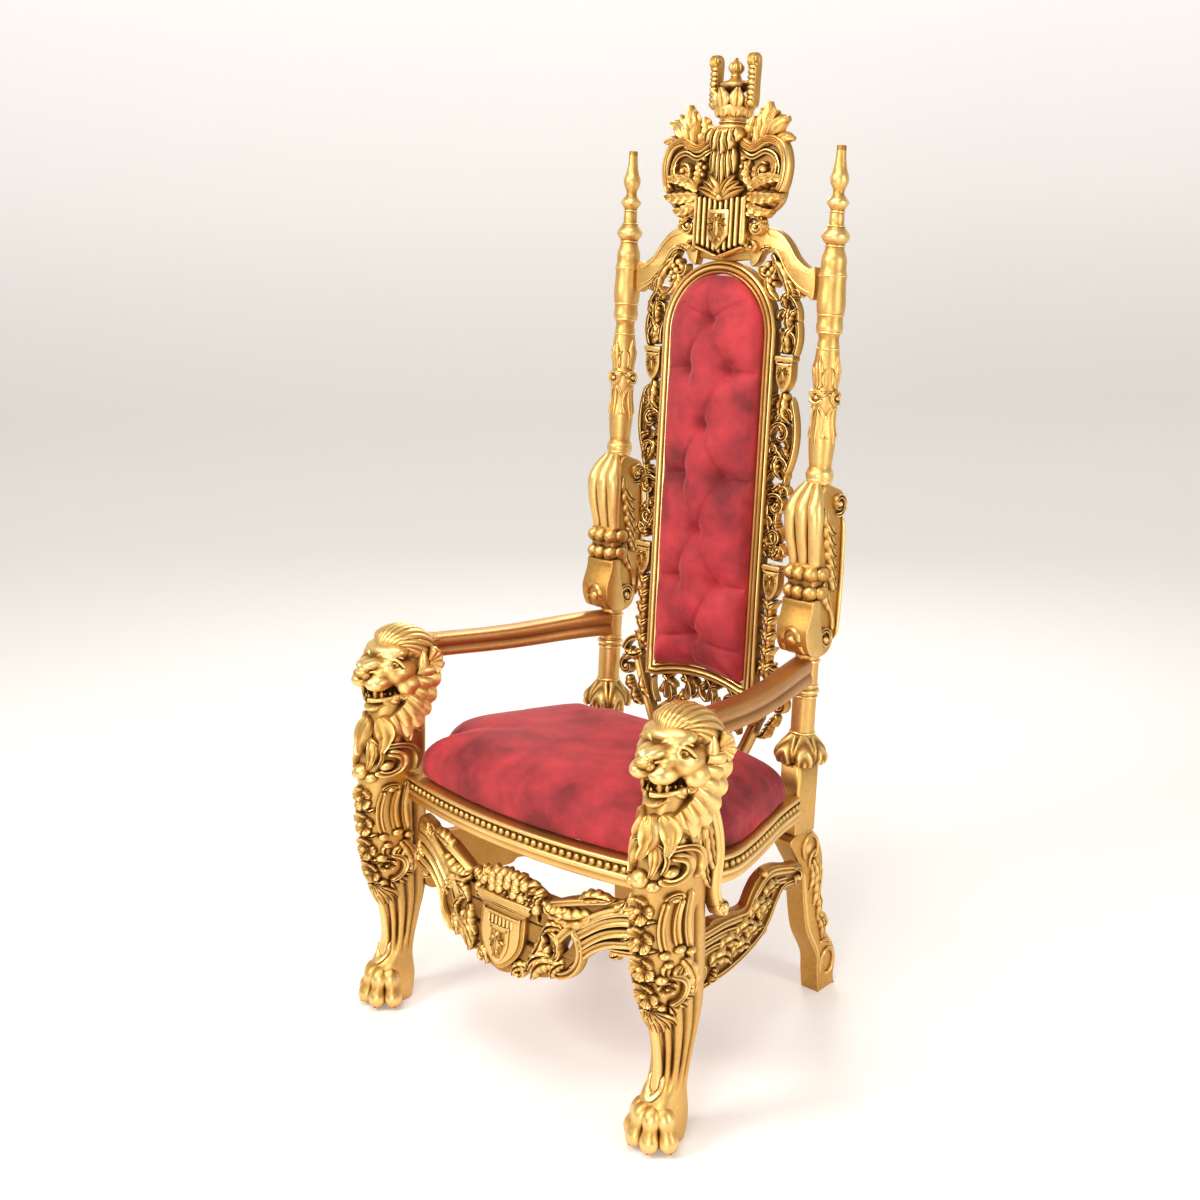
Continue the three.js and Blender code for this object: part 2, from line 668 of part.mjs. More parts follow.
function fretwork() {
  const edge = [];
  for (let z = 640; z < 830; z += 38) edge.push([FRET_IN + 34, along(z)], [FRET_IN + 47, along(z + 26)]);
  for (let z = 850; z <= 1390; z += 40) {
    const swell = 6 * cos(2 * PI * (z - 950) / 120);
    edge.push([FRET_IN + FRET_WIDE - 6 + swell, along(z)]);
  }
  const outline = [[FRET_IN, along(640)], ...edge, [FRET_IN + 24, along(1402)], [FRET_IN, along(1370)]];
  const holes = [];
  for (let z = 662; z < 800; z += 38) holes.push([FRET_IN + 9, along(z), 10, 22, -30]);
  for (let z = 915; z < 1190; z += 42) {
    const swing = z % 84 === 0 ? 1 : -1;
    holes.push([FRET_IN + 24 + 9 * swing, along(z), 16, 32, 30 * swing]);
  }
  holes.push([FRET_IN + 22, along(1308), 20, 30, 0], [FRET_IN + 30, along(1352), 12, 26, 20]);
  const parts = [board(outline, holes, -8, 10)];
  for (const z of [1270, 872]) {
    parts.push(shield(FRET_IN + 25, along(z), 18, 6, -62, -6, 16));
  }
  parts.push(scroll({ at: [FRET_IN + 24, along(978)], radius: [24, 12], turn: [200, -60], wide: [10, 7],
    high: 17, low: -6, steps: 5 }));
  parts.push(scroll({ at: [FRET_IN + 24, along(1120)], radius: [26, 12], turn: [-200, 60], wide: [10, 7],
    high: 17, low: -6, steps: 5 }));
  parts.push(leaf({ base: [FRET_IN + 26, along(1150)], tip: [FRET_IN + 18, along(1206)],
    wide: 30, high: 17, low: -6 }));
  return parts;
}

// the pierced apron under the panel, with a scroll ear at each side
function backApron() {
  const half = [[0, 622], [60, 618], [112, 602], [150, 600], [176, 626], [204, 626], [222, 606], [214, 582],
    [190, 572], [168, 560], [140, 500], [100, 470], [0, 470]].map(([x, z]) => [x, along(z)]);
  const holes = [[28, 590, 30, 26, 0], [76, 580, 32, 26, -10], [34, 545, 34, 22, 10],
    [84, 536, 34, 24, -20],
    [128, 568, 22, 30, 20], [124, 520, 20, 24, 0]].map(([x, z, ...rest]) => [x, along(z), ...rest]);
  const plate = board(bothHalves(half), [...holes, ...holes.map(([x, z, a, b, tilt]) => [-x, z, a, b,
    -tilt])], -9, 9);
  const side = [
    scroll({ at: [198, along(600)], radius: [24, 10], turn: [150, -130], wide: [12, 8],
      high: 16, steps: 8 }),
    leaf({ base: [176, along(628)], tip: [166, along(560)], bend: 0.1, wide: 26, high: 18 }),
    board([[142, along(600)], [194, along(600)], [194, along(662)], [142, along(662)]], [], -8, 8),
  ];
  return [plate, ...twice(side)];
}

const backFrame = stood(carved(moulding(), ...backApron(), ...twice(fretwork())));

// ---------------------------------------------------------------- top rail and crest

// a serpentine rail that climbs from each pole to the foot of the crest, and ends in a hook scroll
function topRail() {
  const over = [[222, 1442], [205, 1444], [180, 1460], [158, 1488], [138, 1506], [110, 1516], [68, 1516]];
  const under = [[68, 1446], [84, 1448], [96, 1466], [118, 1470], [138, 1456], [156, 1428], [180, 1404],
    [206, 1390], [222, 1386]];
  const outline = [...over, ...under].map(([x, z]) => [x, along(z)]);
  const half = board(outline, [], -12, 12);
  const bar = board([[-72, along(1456)], [72, along(1456)], [72, along(1512)], [-72, along(1512)]], [],
    -12, 2);
  const side = [
    half,
    scroll({ at: [104, along(1440)], radius: [28, 10], turn: [60, -190], wide: [10, 8],
      high: 16, low: -8, steps: 5 }),
    leaf({ base: [118, along(1450)], tip: [168, along(1368)], bend: 0.1, wide: 30, high: 18, low: 10.5 }),
  ];
  return stood(carved(bar, ...twice(side)));
}

// the cresting: a fluted shield panel between two leafy C scrolls, with a draped bell above
function crest() {
  const half = [[0, 1454], [62, 1472], [66, 1530], [92, 1552], [122, 1546], [146, 1570], [148, 1610],
    [153, 1638],
    [142, 1666], [112, 1682], [60, 1688], [36, 1700], [0, 1702]]
    .map(([x, z]) => [x, along(z)]);
  const holes = [[84, 1604, 14, 26, 0], [-84, 1604, 14, 26, 0]].map(([x, z, ...rest]) => [x, along(z),
    ...rest]);
  const plate = board(bothHalves(half), holes, 3, 20);
  const at = (x, z) => [x, along(z)];
  const side = [
    scroll({ at: at(98, 1612), radius: [50, 22], turn: [112, -80], wide: [20, 14],
      high: 30, low: 8, steps: 7 }),
    scroll({ at: at(84, 1518), radius: [24, 8], turn: [135, -220], wide: [14, 8],
      high: 28, low: 12.5, steps: 6 }),
    leaf({ base: at(66, 1560), tip: at(144, 1558), bend: 0.22, wide: 34, high: 30, low: 8 }),
    leaf({ base: at(76, 1580), tip: at(110, 1636), bend: 0.25, wide: 34, high: 32, low: 8 }),
    leaf({ base: at(82, 1672), tip: at(103, 1732), bend: -0.12, wide: 40, high: 26, low: 0 }),
    leaf({ base: at(104, 1672), tip: at(140, 1696), bend: 0.16, wide: 30, high: 24, low: 0 }),
    leaf({ base: at(22, 1650), tip: at(26, 1594), bend: -0.1, wide: 34, high: 40, low: 12 }),
    leaf({ base: at(14, 1566), tip: at(50, 1588), bend: 0.05, wide: 22, high: 34, low: 12 }),
  ];
  const flutes = [];
  for (const x of [-50, -25, 0, 25, 50]) {
    const foot = 1457 + abs(x) * 0.3;
    flutes.push(board([[x - 8, along(foot)], [x + 8, along(foot)], [x + 8, along(1562)],
      [x - 8, along(1562)]], [], 8, 29));
  }
  const centre = [
    shield(0, along(1536), 30, 0, -76, 8, 34),
    leaf({ base: at(0, 1700), tip: at(0, 1640), wide: 62, high: 38, low: 8 }),
  ];
  return stood(carved(plate, ...twice(side), ...flutes, ...centre));
}

// the crown: a leafy bowl on a turned neck, an urn in it and a beaded scroll plate at each side
function crownFinial() {
  const foot = along(1703);
  const turned = lathe([[30, foot], [36, foot + 3], [28, along(1712)], [27, along(1722)],
    [38, along(1732)], [38, along(1742)],
    [12, along(1758)], [12, along(1766)], [27, along(1778)], [28, along(1786)], [10, along(1802)],
      [14, along(1816)], [3, along(1834)]], 8);
  const leaves = [];
  for (let j = 0; j < 6; j += 1) {
    const petal = leaf({ base: [0, along(1736)], tip: [0, along(1766)],
      wide: 28, high: 5, low: -6, steps: 2 });
    leaves.push(stood(petal).translate(0, -34, 0).rotateZ(2 * PI * j / 6));
  }
  const plates = [];
  for (const side of [-1, 1]) {
    const plate = board([[-12, along(1742)], [10, along(1742)], [10, along(1800)], [12, along(1834)],
      [2, along(1842)], [-14, along(1838)],
      [-18, along(1826)], [-12, along(1814)], [-16, along(1804)], [-10, along(1792)], [-16, along(1780)],
        [-10, along(1768)]], [], -8, 8);
    plates.push(warp(plate, (u, v, w) => [side * 46 + w, u, v]));
    plates.push(new THREE.BoxGeometry(26, 14, 12).translate(side * 34, 0, along(1744)));
  }
  return carved(turned, ...leaves, ...plates);
}

// ---------------------------------------------------------------- assembly

function named(name, shape, material) {
  const piece = new THREE.Mesh(shape, material);
  piece.name = name;
  return piece;
}

const raked = new THREE.Group();
raked.position.y = POST_FOOT_Y;
raked.rotation.x = -RAKE;

const throne = new THREE.Group();
throne.position.y = DEPTH_SHIFT;
throne.add(raked);

const rightLeg = shifted(frontLeg, LEG_X, 0, 0);
const armEnd = new THREE.CylinderGeometry(COLUMN + GAP, COLUMN + GAP, 200, 10).rotateX(PI / 2 - RAKE)
  .translate(POST_X, POST_FOOT_Y + along(690) * sin(RAKE), 690);
const rightArm = without(shifted(without(arm(), rightLeg), 0, GAP, 0), armEnd);
const rightSideRail = shifted(without(sideRail(), rightLeg), 0, GAP, 0);
const pieces = {
  front_leg: [rightLeg, gilt, throne],
  arm: [rightArm, giltBrown, throne],
  side_rail: [rightSideRail, gilt, throne],
  side_stretcher: [shifted(without(sideStretcher(), rightLeg), 0, GAP, 0), gilt, throne],
  rear_leg: [rearLeg().translate(POST_X, 0, 0), gilt, throne],
  post: [post().translate(POST_X, 0, 0), gilt, raked],
  console: [console_().translate(POST_X, 0, 0), gilt, raked],
  pole: [pole().translate(POST_X, 0, 0), gilt, raked],
};
for (const [name, [shape, material, parent]] of Object.entries(pieces)) {
  parent.add(named(`${name}_right`, shape, material));
  parent.add(named(`${name}_left`, mirrored(shape), material));
}

const legTools = [shifted(rightLeg, -GAP, 0, 0)];
legTools.push(mirrored(legTools[0]));
throne.add(named('front_rail', without(frontRail(), ...legTools), gilt));
throne.add(named('front_stretcher', without(frontStretcher(), ...legTools), gilt));
throne.add(named('seat_cushion', seatCushion(), velvet));
const backRail = new THREE.BoxGeometry(2 * (POST_X - 33) - 2 * GAP, 30, 50).translate(0, 234, 424);
throne.add(named('back_rail', backRail, gilt));

raked.add(named('back_frame', backFrame, gilt));
raked.add(named('back_cushion', backCushion(), velvet));
raked.add(named('top_rail', topRail(), gilt));
raked.add(named('crest', crest(), gilt));
raked.add(named('crown_finial', crownFinial(), gilt));

export default throne;
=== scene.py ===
"""A carved and gilded throne: lion-headed front legs, open arms, a velvet seat, a tall buttoned back
between turned poles, and a crowned crest.

The CAD model is the frame. Every piece here is built in millimetres in the CAD model's own axes
(+X right, -Y front, +Z up), brought to metres, and takes the place of the CAD node of its name.
"""

import math

import bpy
import numpy as np
from mathutils import Matrix, Vector
from mathutils.geometry import tessellate_polygon


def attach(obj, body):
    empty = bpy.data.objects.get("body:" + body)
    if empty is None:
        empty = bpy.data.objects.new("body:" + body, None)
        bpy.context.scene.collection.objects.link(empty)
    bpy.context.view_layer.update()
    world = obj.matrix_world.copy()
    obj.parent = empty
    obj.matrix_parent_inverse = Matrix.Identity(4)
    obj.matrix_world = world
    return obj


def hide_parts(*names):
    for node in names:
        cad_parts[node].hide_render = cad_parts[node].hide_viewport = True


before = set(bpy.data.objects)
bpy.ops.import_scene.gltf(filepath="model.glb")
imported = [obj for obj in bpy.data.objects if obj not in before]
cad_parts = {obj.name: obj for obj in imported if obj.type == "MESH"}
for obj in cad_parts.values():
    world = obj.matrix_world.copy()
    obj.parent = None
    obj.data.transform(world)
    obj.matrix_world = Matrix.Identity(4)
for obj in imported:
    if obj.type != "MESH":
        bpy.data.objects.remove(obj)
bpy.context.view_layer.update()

# ------------------------------------------------------------------ shared sizes
# The CAD model's driving dimensions, in millimetres.

SHIFT = -34.6                     # the whole throne sits this far forward of its design origin
RAKE = math.radians(5.71)         # the back and its posts lean backwards
POST_X, POST_FOOT_Y = 257.5, 210.5
COLUMN = 23
LEG_X = 365
HEAD_Y, HEAD_Z = -205, 684
SEAT_FRONT, SEAT_FALL = 480, 30
PANEL_HALF, MOULDING, ARCH_Z = 115, 27, 1310
TURN = 2 * np.pi

# ------------------------------------------------------------------ camera, light and floor
# A standing viewer's camera a little to the right, a big soft key light high on the left, a fill on
# the right and a narrow light behind, over a pale floor that runs up into a pale wall. The floor and
# wall glow as painted light, faintly on the floor and more brightly up the wall.

scene = bpy.context.scene
yaw, pitch, roll = (math.radians(v) for v in (43.1827, 13.0496, -1.2071))
back = Vector((math.sin(yaw) * math.cos(pitch), -math.cos(yaw) * math.cos(pitch), math.sin(pitch)))
level = Vector((0, 0, 1)).cross(back).normalized()
right = level * math.cos(roll) + back.cross(level) * math.sin(roll)
camera = bpy.data.objects.new("camera", bpy.data.cameras.new("camera"))
camera.matrix_world = Matrix((right, back.cross(right), back)).transposed().to_4x4()
camera.location = (1.97264, -2.08041 + SHIFT / 1000, 1.63551)
camera.data.lens = 47.23
camera.data.shift_x, camera.data.shift_y = -0.01215, -0.05695
scene.collection.objects.link(camera)
scene.camera = camera
scene.view_settings.view_transform = "Standard"


def area_light(name, place, aim, wide, tall, power, colour):
    """A rectangular light at place, turned to face aim."""
    light = bpy.data.objects.new(name, bpy.data.lights.new(name, "AREA"))
    light.data.shape = "RECTANGLE"
    light.data.size, light.data.size_y = wide, tall
    light.data.energy, light.data.color = power, colour
    light.location = place
    light.rotation_euler = (Vector(aim) - Vector(place)).to_track_quat("-Z", "Y").to_euler()
    scene.collection.objects.link(light)


area_light("key", (-1.2, -3.0, 2.9), (0, 0, 0.8), 1.1, 1.1, 78, (1, 0.97, 0.92))
area_light("front", (1.7, -3.1, 1.2), (0, 0, 0.8), 0.8, 1.4, 36, (1, 0.98, 0.95))
area_light("side", (3.2, 0.2, 1.5), (0, 0, 0.9), 0.7, 2.0, 34, (1, 0.97, 0.93))
area_light("above", (0.3, -0.9, 3.4), (0, -0.1, 0.5), 1.4, 1.4, 40, (1, 0.98, 0.95))
area_light("behind", (-1.6, 2.2, 2.4), (0, 0, 1.2), 1.0, 1.0, 30, (1, 0.98, 0.95))

world = bpy.data.worlds.new("room")
scene.world = world
world.use_nodes = True
world.node_tree.nodes["Background"].inputs[0].default_value = (0.93, 0.9, 0.86, 1)
world.node_tree.nodes["Background"].inputs[1].default_value = 0.5


# ------------------------------------------------------------------ materials
# Gold leaf over carved wood, the same gold rubbed brown on the arms, and red velvet.


class Value:
    """A shader value. The operators and the named methods each add one Math node."""

    def __init__(self, tree, socket):
        self.tree, self.socket = tree, socket

    def math(self, kind, other=None, first=False):
        node = self.tree.nodes.new("ShaderNodeMath")
        node.operation = kind
        pair = (other, self) if first else (self, other)
        for slot, item in zip(node.inputs, pair):
            if isinstance(item, Value):
                self.tree.links.new(item.socket, slot)
            elif item is not None:
                slot.default_value = item
        return Value(self.tree, node.outputs[0])

    def __add__(self, other):
        return self.math("ADD", other)

    def __sub__(self, other):
        return self.math("SUBTRACT", other)

    def __rsub__(self, other):
        return self.math("SUBTRACT", other, first=True)

    def __mul__(self, other):
        return self.math("MULTIPLY", other)

    def __truediv__(self, other):
        return self.math("DIVIDE", other)

    def __pow__(self, other):
        return self.math("POWER", other)

    def clip(self):
        return self.math("MAXIMUM", 0.0).math("MINIMUM", 1.0)

    def step(self, low, high):
        """0 below low, 1 above high, straight between them."""
        return ((self - low) / (high - low)).clip()

    __radd__, __rmul__ = __add__, __mul__


class Paint:
    """A material with one Principled shader, and short ways to add nodes to it."""

    def __init__(self, name):
        self.material = bpy.data.materials.new(name)
        self.material.use_nodes = True
        self.tree = self.material.node_tree
        self.shader = self.tree.nodes["Principled BSDF"]
        self.place = self.node("ShaderNodeTexCoord").outputs["Object"]

    def node(self, kind, settings=(), **sockets):
        node = self.tree.nodes.new(kind)
        for key, value in dict(settings).items():
            setattr(node, key, value)
        for key, value in sockets.items():
            self.join(value, node.inputs[key.replace("_", " ")])
        return node

    def join(self, value, slot):
        if isinstance(value, Value):
            value = value.socket
        if isinstance(value, bpy.types.NodeSocket):
            self.tree.links.new(value, slot)
        else:
            slot.default_value = value

    def noise(self, scale, detail=3.0, rough=0.5):
        node = self.node("ShaderNodeTexNoise", Vector=self.place, Scale=scale, Detail=detail,
                         Roughness=rough)
        return Value(self.tree, node.outputs["Fac"])

    def mark(self, name):
        node = self.node("ShaderNodeAttribute", {"attribute_name": name})
        return Value(self.tree, node.outputs["Fac"])

    def mix(self, factor, low, high):
        node = self.node("ShaderNodeMix", {"data_type": "RGBA"})
        for slot, item in zip((node.inputs[0], node.inputs[6], node.inputs[7]), (factor, low, high)):
            self.join(item, slot)
        return node.outputs[2]

    def bump(self, height, strength, distance):
        node = self.node("ShaderNodeBump", Height=height, Strength=strength, Distance=distance)
        self.join(node.outputs[0], self.shader.inputs["Normal"])

    def set(self, **values):
        for key, value in values.items():
            self.join(value, self.shader.inputs[key.replace("_", " ")])


def gilding(name, hollow, middle, ridge):
    """Gold leaf: a brown glaze colour and painted shade in the hollows, painted highlight on the
    burnished ridges, faint wear and brush marks.
    """
    paint = Paint(name)
    cloud = paint.noise(9, 4)
    grain = paint.noise(140, 4, 0.65)
    fine = paint.noise(900, 2, 0.6)
    # painted shade: an ambient-occlusion node darkens the colour towards the hollow colour where the
    # carving shelters itself
    shelter = paint.node("ShaderNodeAmbientOcclusion", {"samples": 8, "only_local": True}, Distance=0.03)
    open_air = Value(paint.tree, shelter.outputs["AO"]).step(0.12, 0.78)
    tone = ((paint.mark("tone") + (cloud - 0.5) * 0.4 + (grain - 0.5) * 0.35) * (open_air * 0.65
        + 0.35)).clip()
    # painted shade and highlight: a low tone gives the dark hollow colour, a high tone the bright ridge
    # colour
    lower = paint.mix(tone.step(0.0, 0.45), hollow, middle)
    colour = paint.mix(tone.step(0.45, 1.0), lower, ridge)
    paint.set(Base_Color=paint.mix(open_air, hollow, colour), Metallic=tone.step(0.0, 0.45) * 0.3 + 0.68)
    paint.set(Roughness=(0.56 - tone * 0.22 + (grain - 0.5) * 0.2).clip())
    paint.bump(grain * 0.7 + fine * 0.3, 0.35, 0.0012)
    return paint.material


gilt = gilding("gilt", (0.13, 0.052, 0.011, 1), (0.6, 0.325, 0.078, 1), (0.95, 0.68, 0.27, 1))
gilt_brown = gilding("gilt_brown", (0.12, 0.042, 0.01, 1), (0.47, 0.215, 0.065, 1), (0.72, 0.42, 0.17, 1))

cloth = Paint("velvet")
nap = cloth.noise(6, 3, 0.55)
brushed = cloth.noise(22, 4, 0.6)
pile = cloth.noise(1600, 2, 0.7)
press = (nap * 0.65 + brushed * 0.35).step(0.38, 0.62)
cloth.set(Base_Color=cloth.mix(press, (0.17, 0.007, 0.011, 1), (0.5, 0.03, 0.04, 1)))
cloth.set(Roughness=pile * 0.15 + 0.7)
cloth.set(Sheen_Weight=0.6, Sheen_Roughness=0.3, Sheen_Tint=(1.0, 0.36, 0.38, 1))
cloth.bump(pile * 0.5 + brushed * 0.5, 0.25, 0.0015)
velvet = cloth.material

floor_paint = Paint("floor")
floor_paint.set(Base_Color=floor_paint.mix(floor_paint.noise(2, 3) * 0.2, (0.86, 0.83, 0.8, 1),
                                           (0.9, 0.88, 0.86, 1)))
# painted light: the floor and wall glow by emission, dim at the floor and brighter up the wall
height = floor_paint.node("ShaderNodeSeparateXYZ", Vector=floor_paint.place).outputs["Z"]
wall_glow = Value(floor_paint.tree, height).step(0.2, 3.2)
floor_paint.set(Roughness=0.85, Emission_Color=floor_paint.mix(wall_glow, (0.16, 0.155, 0.15, 1),
    (0.46, 0.46, 0.46, 1)), Emission_Strength=1.0)
floor_points = []
for t in np.linspace(0, 1, 40):
    bend = max(0.0, (t - 0.45) / 0.3)
    angle = min(bend, 1.0) * math.pi / 2
    run = -8 + 14 * min(t, 0.45) / 0.45
    floor_points.append((run + 1.5 * math.sin(angle), 1.5 - 1.5 * math.cos(angle) + max(bend - 1, 0) * 9))
floor_mesh = bpy.data.meshes.new("floor")
floor_mesh.from_pydata(
    [(x, y, z) for y, z in floor_points for x in (-30, 30)], [],
    [(2 * i, 2 * i + 1, 2 * i + 3, 2 * i + 2) for i in range(39)],
)
floor = bpy.data.objects.new("floor", floor_mesh)
floor_mesh.materials.append(floor_paint.material)
floor_mesh.shade_smooth()
floor_mesh.transform(Matrix.Rotation(yaw, 4, "Z"))
scene.collection.objects.link(floor)


# ------------------------------------------------------------------ front legs
# Each front leg is one carved post: a lion's paw, a fluted shin, a garland of flowers between
# strap scrolls, a drooping acanthus at the knee, and a lion's head that carries the arm.


def profile(*pairs):
    """A smooth curve through (key, value) pairs: Hermite pieces, with slopes from the neighbours."""
    keys, values = np.array(pairs, float).T
    slopes = np.gradient(values, keys)

    def at(key):
        key = np.clip(key, keys[0], keys[-1])
        i = np.clip(np.searchsorted(keys, key, side="right") - 1, 0, len(keys) - 2)
        span = keys[i + 1] - keys[i]
        t = (key - keys[i]) / span
        u = 1 - t
        ends = u * u * (1 + 2 * t) * values[i] + t * t * (3 - 2 * t) * values[i + 1]
        return ends + span * (t * u * u * slopes[i] - t * t * u * slopes[i + 1])

    return at


def smooth(value, low, high):
    """0 below low, 1 above high, with a soft step between them."""
    t = np.clip((value - low) / (high - low), 0, 1)
    return t * t * (3 - 2 * t)


def bell(value, centre, wide):
    """1 at the centre, falling as exp(-d^2) over wide."""
    return np.exp(-(((value - centre) / wide) ** 2))


def stack(x, y, z):
    """Separate x, y and z arrays joined into points."""
    return np.stack(np.broadcast_arrays(x, y, z), axis=-1).astype(float)


class Carving:
    """Closed shapes gathered into one mesh, in millimetres. Each point carries a tone, from 0 in a
    hollow to 1 on a ridge, which the gilding reads as painted shade in the hollows and painted
    highlight on the ridges."""

    def __init__(self):
        self.points, self.tones, self.quads, self.tris, self.count = [], [], [], [], 0

    def skin(self, rings, tone=0.6, hoop=False):
        """Rings of matching points, shape (rings, points, 3). Closed rings make a hoop, others get
        end caps. The faces are turned so that the shape's volume is positive."""
        n, m = rings.shape[:2]
        index = np.arange(n * m).reshape(n, m)
        here = index if hoop else index[:-1]
        after = np.roll(index, -1, axis=0) if hoop else index[1:]
        quads = np.stack([here, np.roll(here, -1, 1), np.roll(after, -1, 1), after], -1).reshape(-1, 4)
        tris = np.zeros((0, 3), int)
        points = rings.reshape(-1, 3)
        tones = np.broadcast_to(tone, (n, m)).reshape(-1).astype(float)
        if not hoop:
            ends = []
            for k, row in enumerate((index[0], index[-1])):
                middle = np.full(m, n * m + k)
                fan = np.stack([np.roll(row, -1), row, middle], -1)
                ends.append(fan if k == 0 else fan[:, ::-1])
            tris = np.concatenate(ends)
            points = np.concatenate([points, rings[[0, -1]].mean(1)])
            tones = np.concatenate([tones, tones.reshape(n, m)[[0, -1]].mean(1)])
        flat = np.concatenate([quads[:, [0, 1, 2]], quads[:, [0, 2, 3]], tris])
        a, b, c = (points[flat[:, k]] for k in range(3))
        if np.einsum("ij,ij", a, np.cross(b, c)) < 0:
            quads, tris = quads[:, ::-1], tris[:, ::-1]
        return self.keep(points, tones, quads, tris)

    def keep(self, points, tones, quads, tris):
        """Adds ready points, tones and faces."""
        self.points.append(points)
        self.tones.append(tones)
        self.quads.append(quads + self.count)
        self.tris.append(tris + self.count)
        self.count += len(points)
        return self

    def gathered(self):
        """All that has been added, as four arrays."""
        return [np.concatenate(part) for part in (self.points, self.tones, self.quads, self.tris)]

    def add(self, other, move=None, flip=False):
        """Adds another carving, its points passed through move(x, y, z)."""
        points, tones, quads, tris = other.gathered()
        if move is not None:
            points = stack(*move(*points.T))
        if flip:
            quads, tris = quads[:, ::-1], tris[:, ::-1]
        return self.keep(points, tones, quads, tris)

    def mirror(self):
        """Adds the other half, reflected in the middle plane."""
        half = Carving().add(self)
        return self.add(half, lambda x, y, z: (-x, y, z), flip=True)

    def piece(self, name, material, node=None, mirrored=False, slot="gilt", smooth_angle=50):
        """The finished object, in metres, standing for a CAD node."""
        points, tones, quads, tris = self.gathered()
        points = points * [-1, 1, 1] if mirrored else points
        quads, tris = (quads[:, ::-1], tris[:, ::-1]) if mirrored else (quads, tris)
        mesh = bpy.data.meshes.new(name)
        mesh.from_pydata((points / 1000).tolist(), [], quads.tolist() + tris.tolist())
        mesh.attributes.new("tone", "FLOAT", "POINT").data.foreach_set("value", np.clip(tones, 0, 1))
        mesh.materials.append(material)
        mesh.shade_smooth()
        mesh.set_sharp_from_angle(angle=math.radians(smooth_angle))
        obj = bpy.data.objects.new(name, mesh)
        scene.collection.objects.link(obj)
        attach(obj, "root")
        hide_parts(node or name)
        return obj


def ends_down(t, start=0.06, end=0.06):
    """1 along the middle of a stroke, rounding to 0 at both ends."""
    return np.sqrt(np.clip(np.minimum(t / start, 1), 0,
                           1)) * np.sqrt(np.clip(np.minimum((1 - t) / end, 1), 0, 1))


def stroke(path, wide, high, low=0.0, flute=0.35, steps=22, across=9, taper=(0.08, 0.08)):
    """A carved strap along path(t) in the plane: half a superellipse in section, with a flute sunk
    down its middle. wide and high are numbers or functions of t."""
    t = np.linspace(0, 1, steps)
    x, y = path(t)
    dx, dy = np.gradient(x, t), np.gradient(y, t)
    size = np.hypot(dx, dy)
    s = np.sin(np.linspace(-1, 1, across) * np.pi / 2)
    t2, s2 = t[:, None], s[None, :]
    thin = ends_down(t2, *taper)
    half = (wide(t2) if callable(wide) else wide) / 2 * (0.25 + 0.75 * thin)
    top = (high(t2) if callable(high) else high) - low
    dome = (1 - np.abs(s2) ** 3) ** 0.5
    sunk = flute * np.exp(-((s2 / 0.42) ** 2))
    out = low + top * dome * (1 - sunk) * (0.3 + 0.7 * thin)
    px = x[:, None] - (dy / size)[:, None] * s2 * half
    py = y[:, None] + (dx / size)[:, None] * s2 * half
    rings = np.concatenate([stack(px, py, out), stack(px[:, ::-1][:, 1:-1], py[:, ::-1][:, 1:-1], low)],
                           1)
    # painted shade and highlight: the tone is low at the foot and in the flute, high on the crest
    tone = 0.25 + 0.75 * dome * (1 - 1.4 * sunk)
    tone = np.concatenate([tone, 0.4 + 0 * tone[:, 1:-1]], 1) * np.ones_like(t2)
    return Carving().skin(rings, tone)


def spiral(at, radius, turn, squash=1.0):
    """Path round a centre: the radius and the angle (degrees) both run evenly between their ends."""
    def path(t):
        angle = np.radians(turn[0] + (turn[1] - turn[0]) * t)
        r = radius[0] + (radius[1] - radius[0]) * t
        return at[0] + r * np.cos(angle), at[1] + r * np.sin(angle) * squash
    return path


def through(*points):
    """Smooth path through the points, evenly timed."""
    t = np.linspace(0, 1, len(points))
    x, y = (profile(*zip(t, values)) for values in zip(*points))
    return lambda at: (x(at), y(at))


def bow(a, b, bend=0.0, curl=0.0):
    """Path from a to b, bent sideways by bend times its length, in an S when curl isn't 0."""
    def path(t):
        dx, dy = b[0] - a[0], b[1] - a[1]
        off = bend * 4 * t * (1 - t) + curl * np.sin(TURN * t)
        return a[0] + dx * t - dy * off, a[1] + dy * t + dx * off
    return path


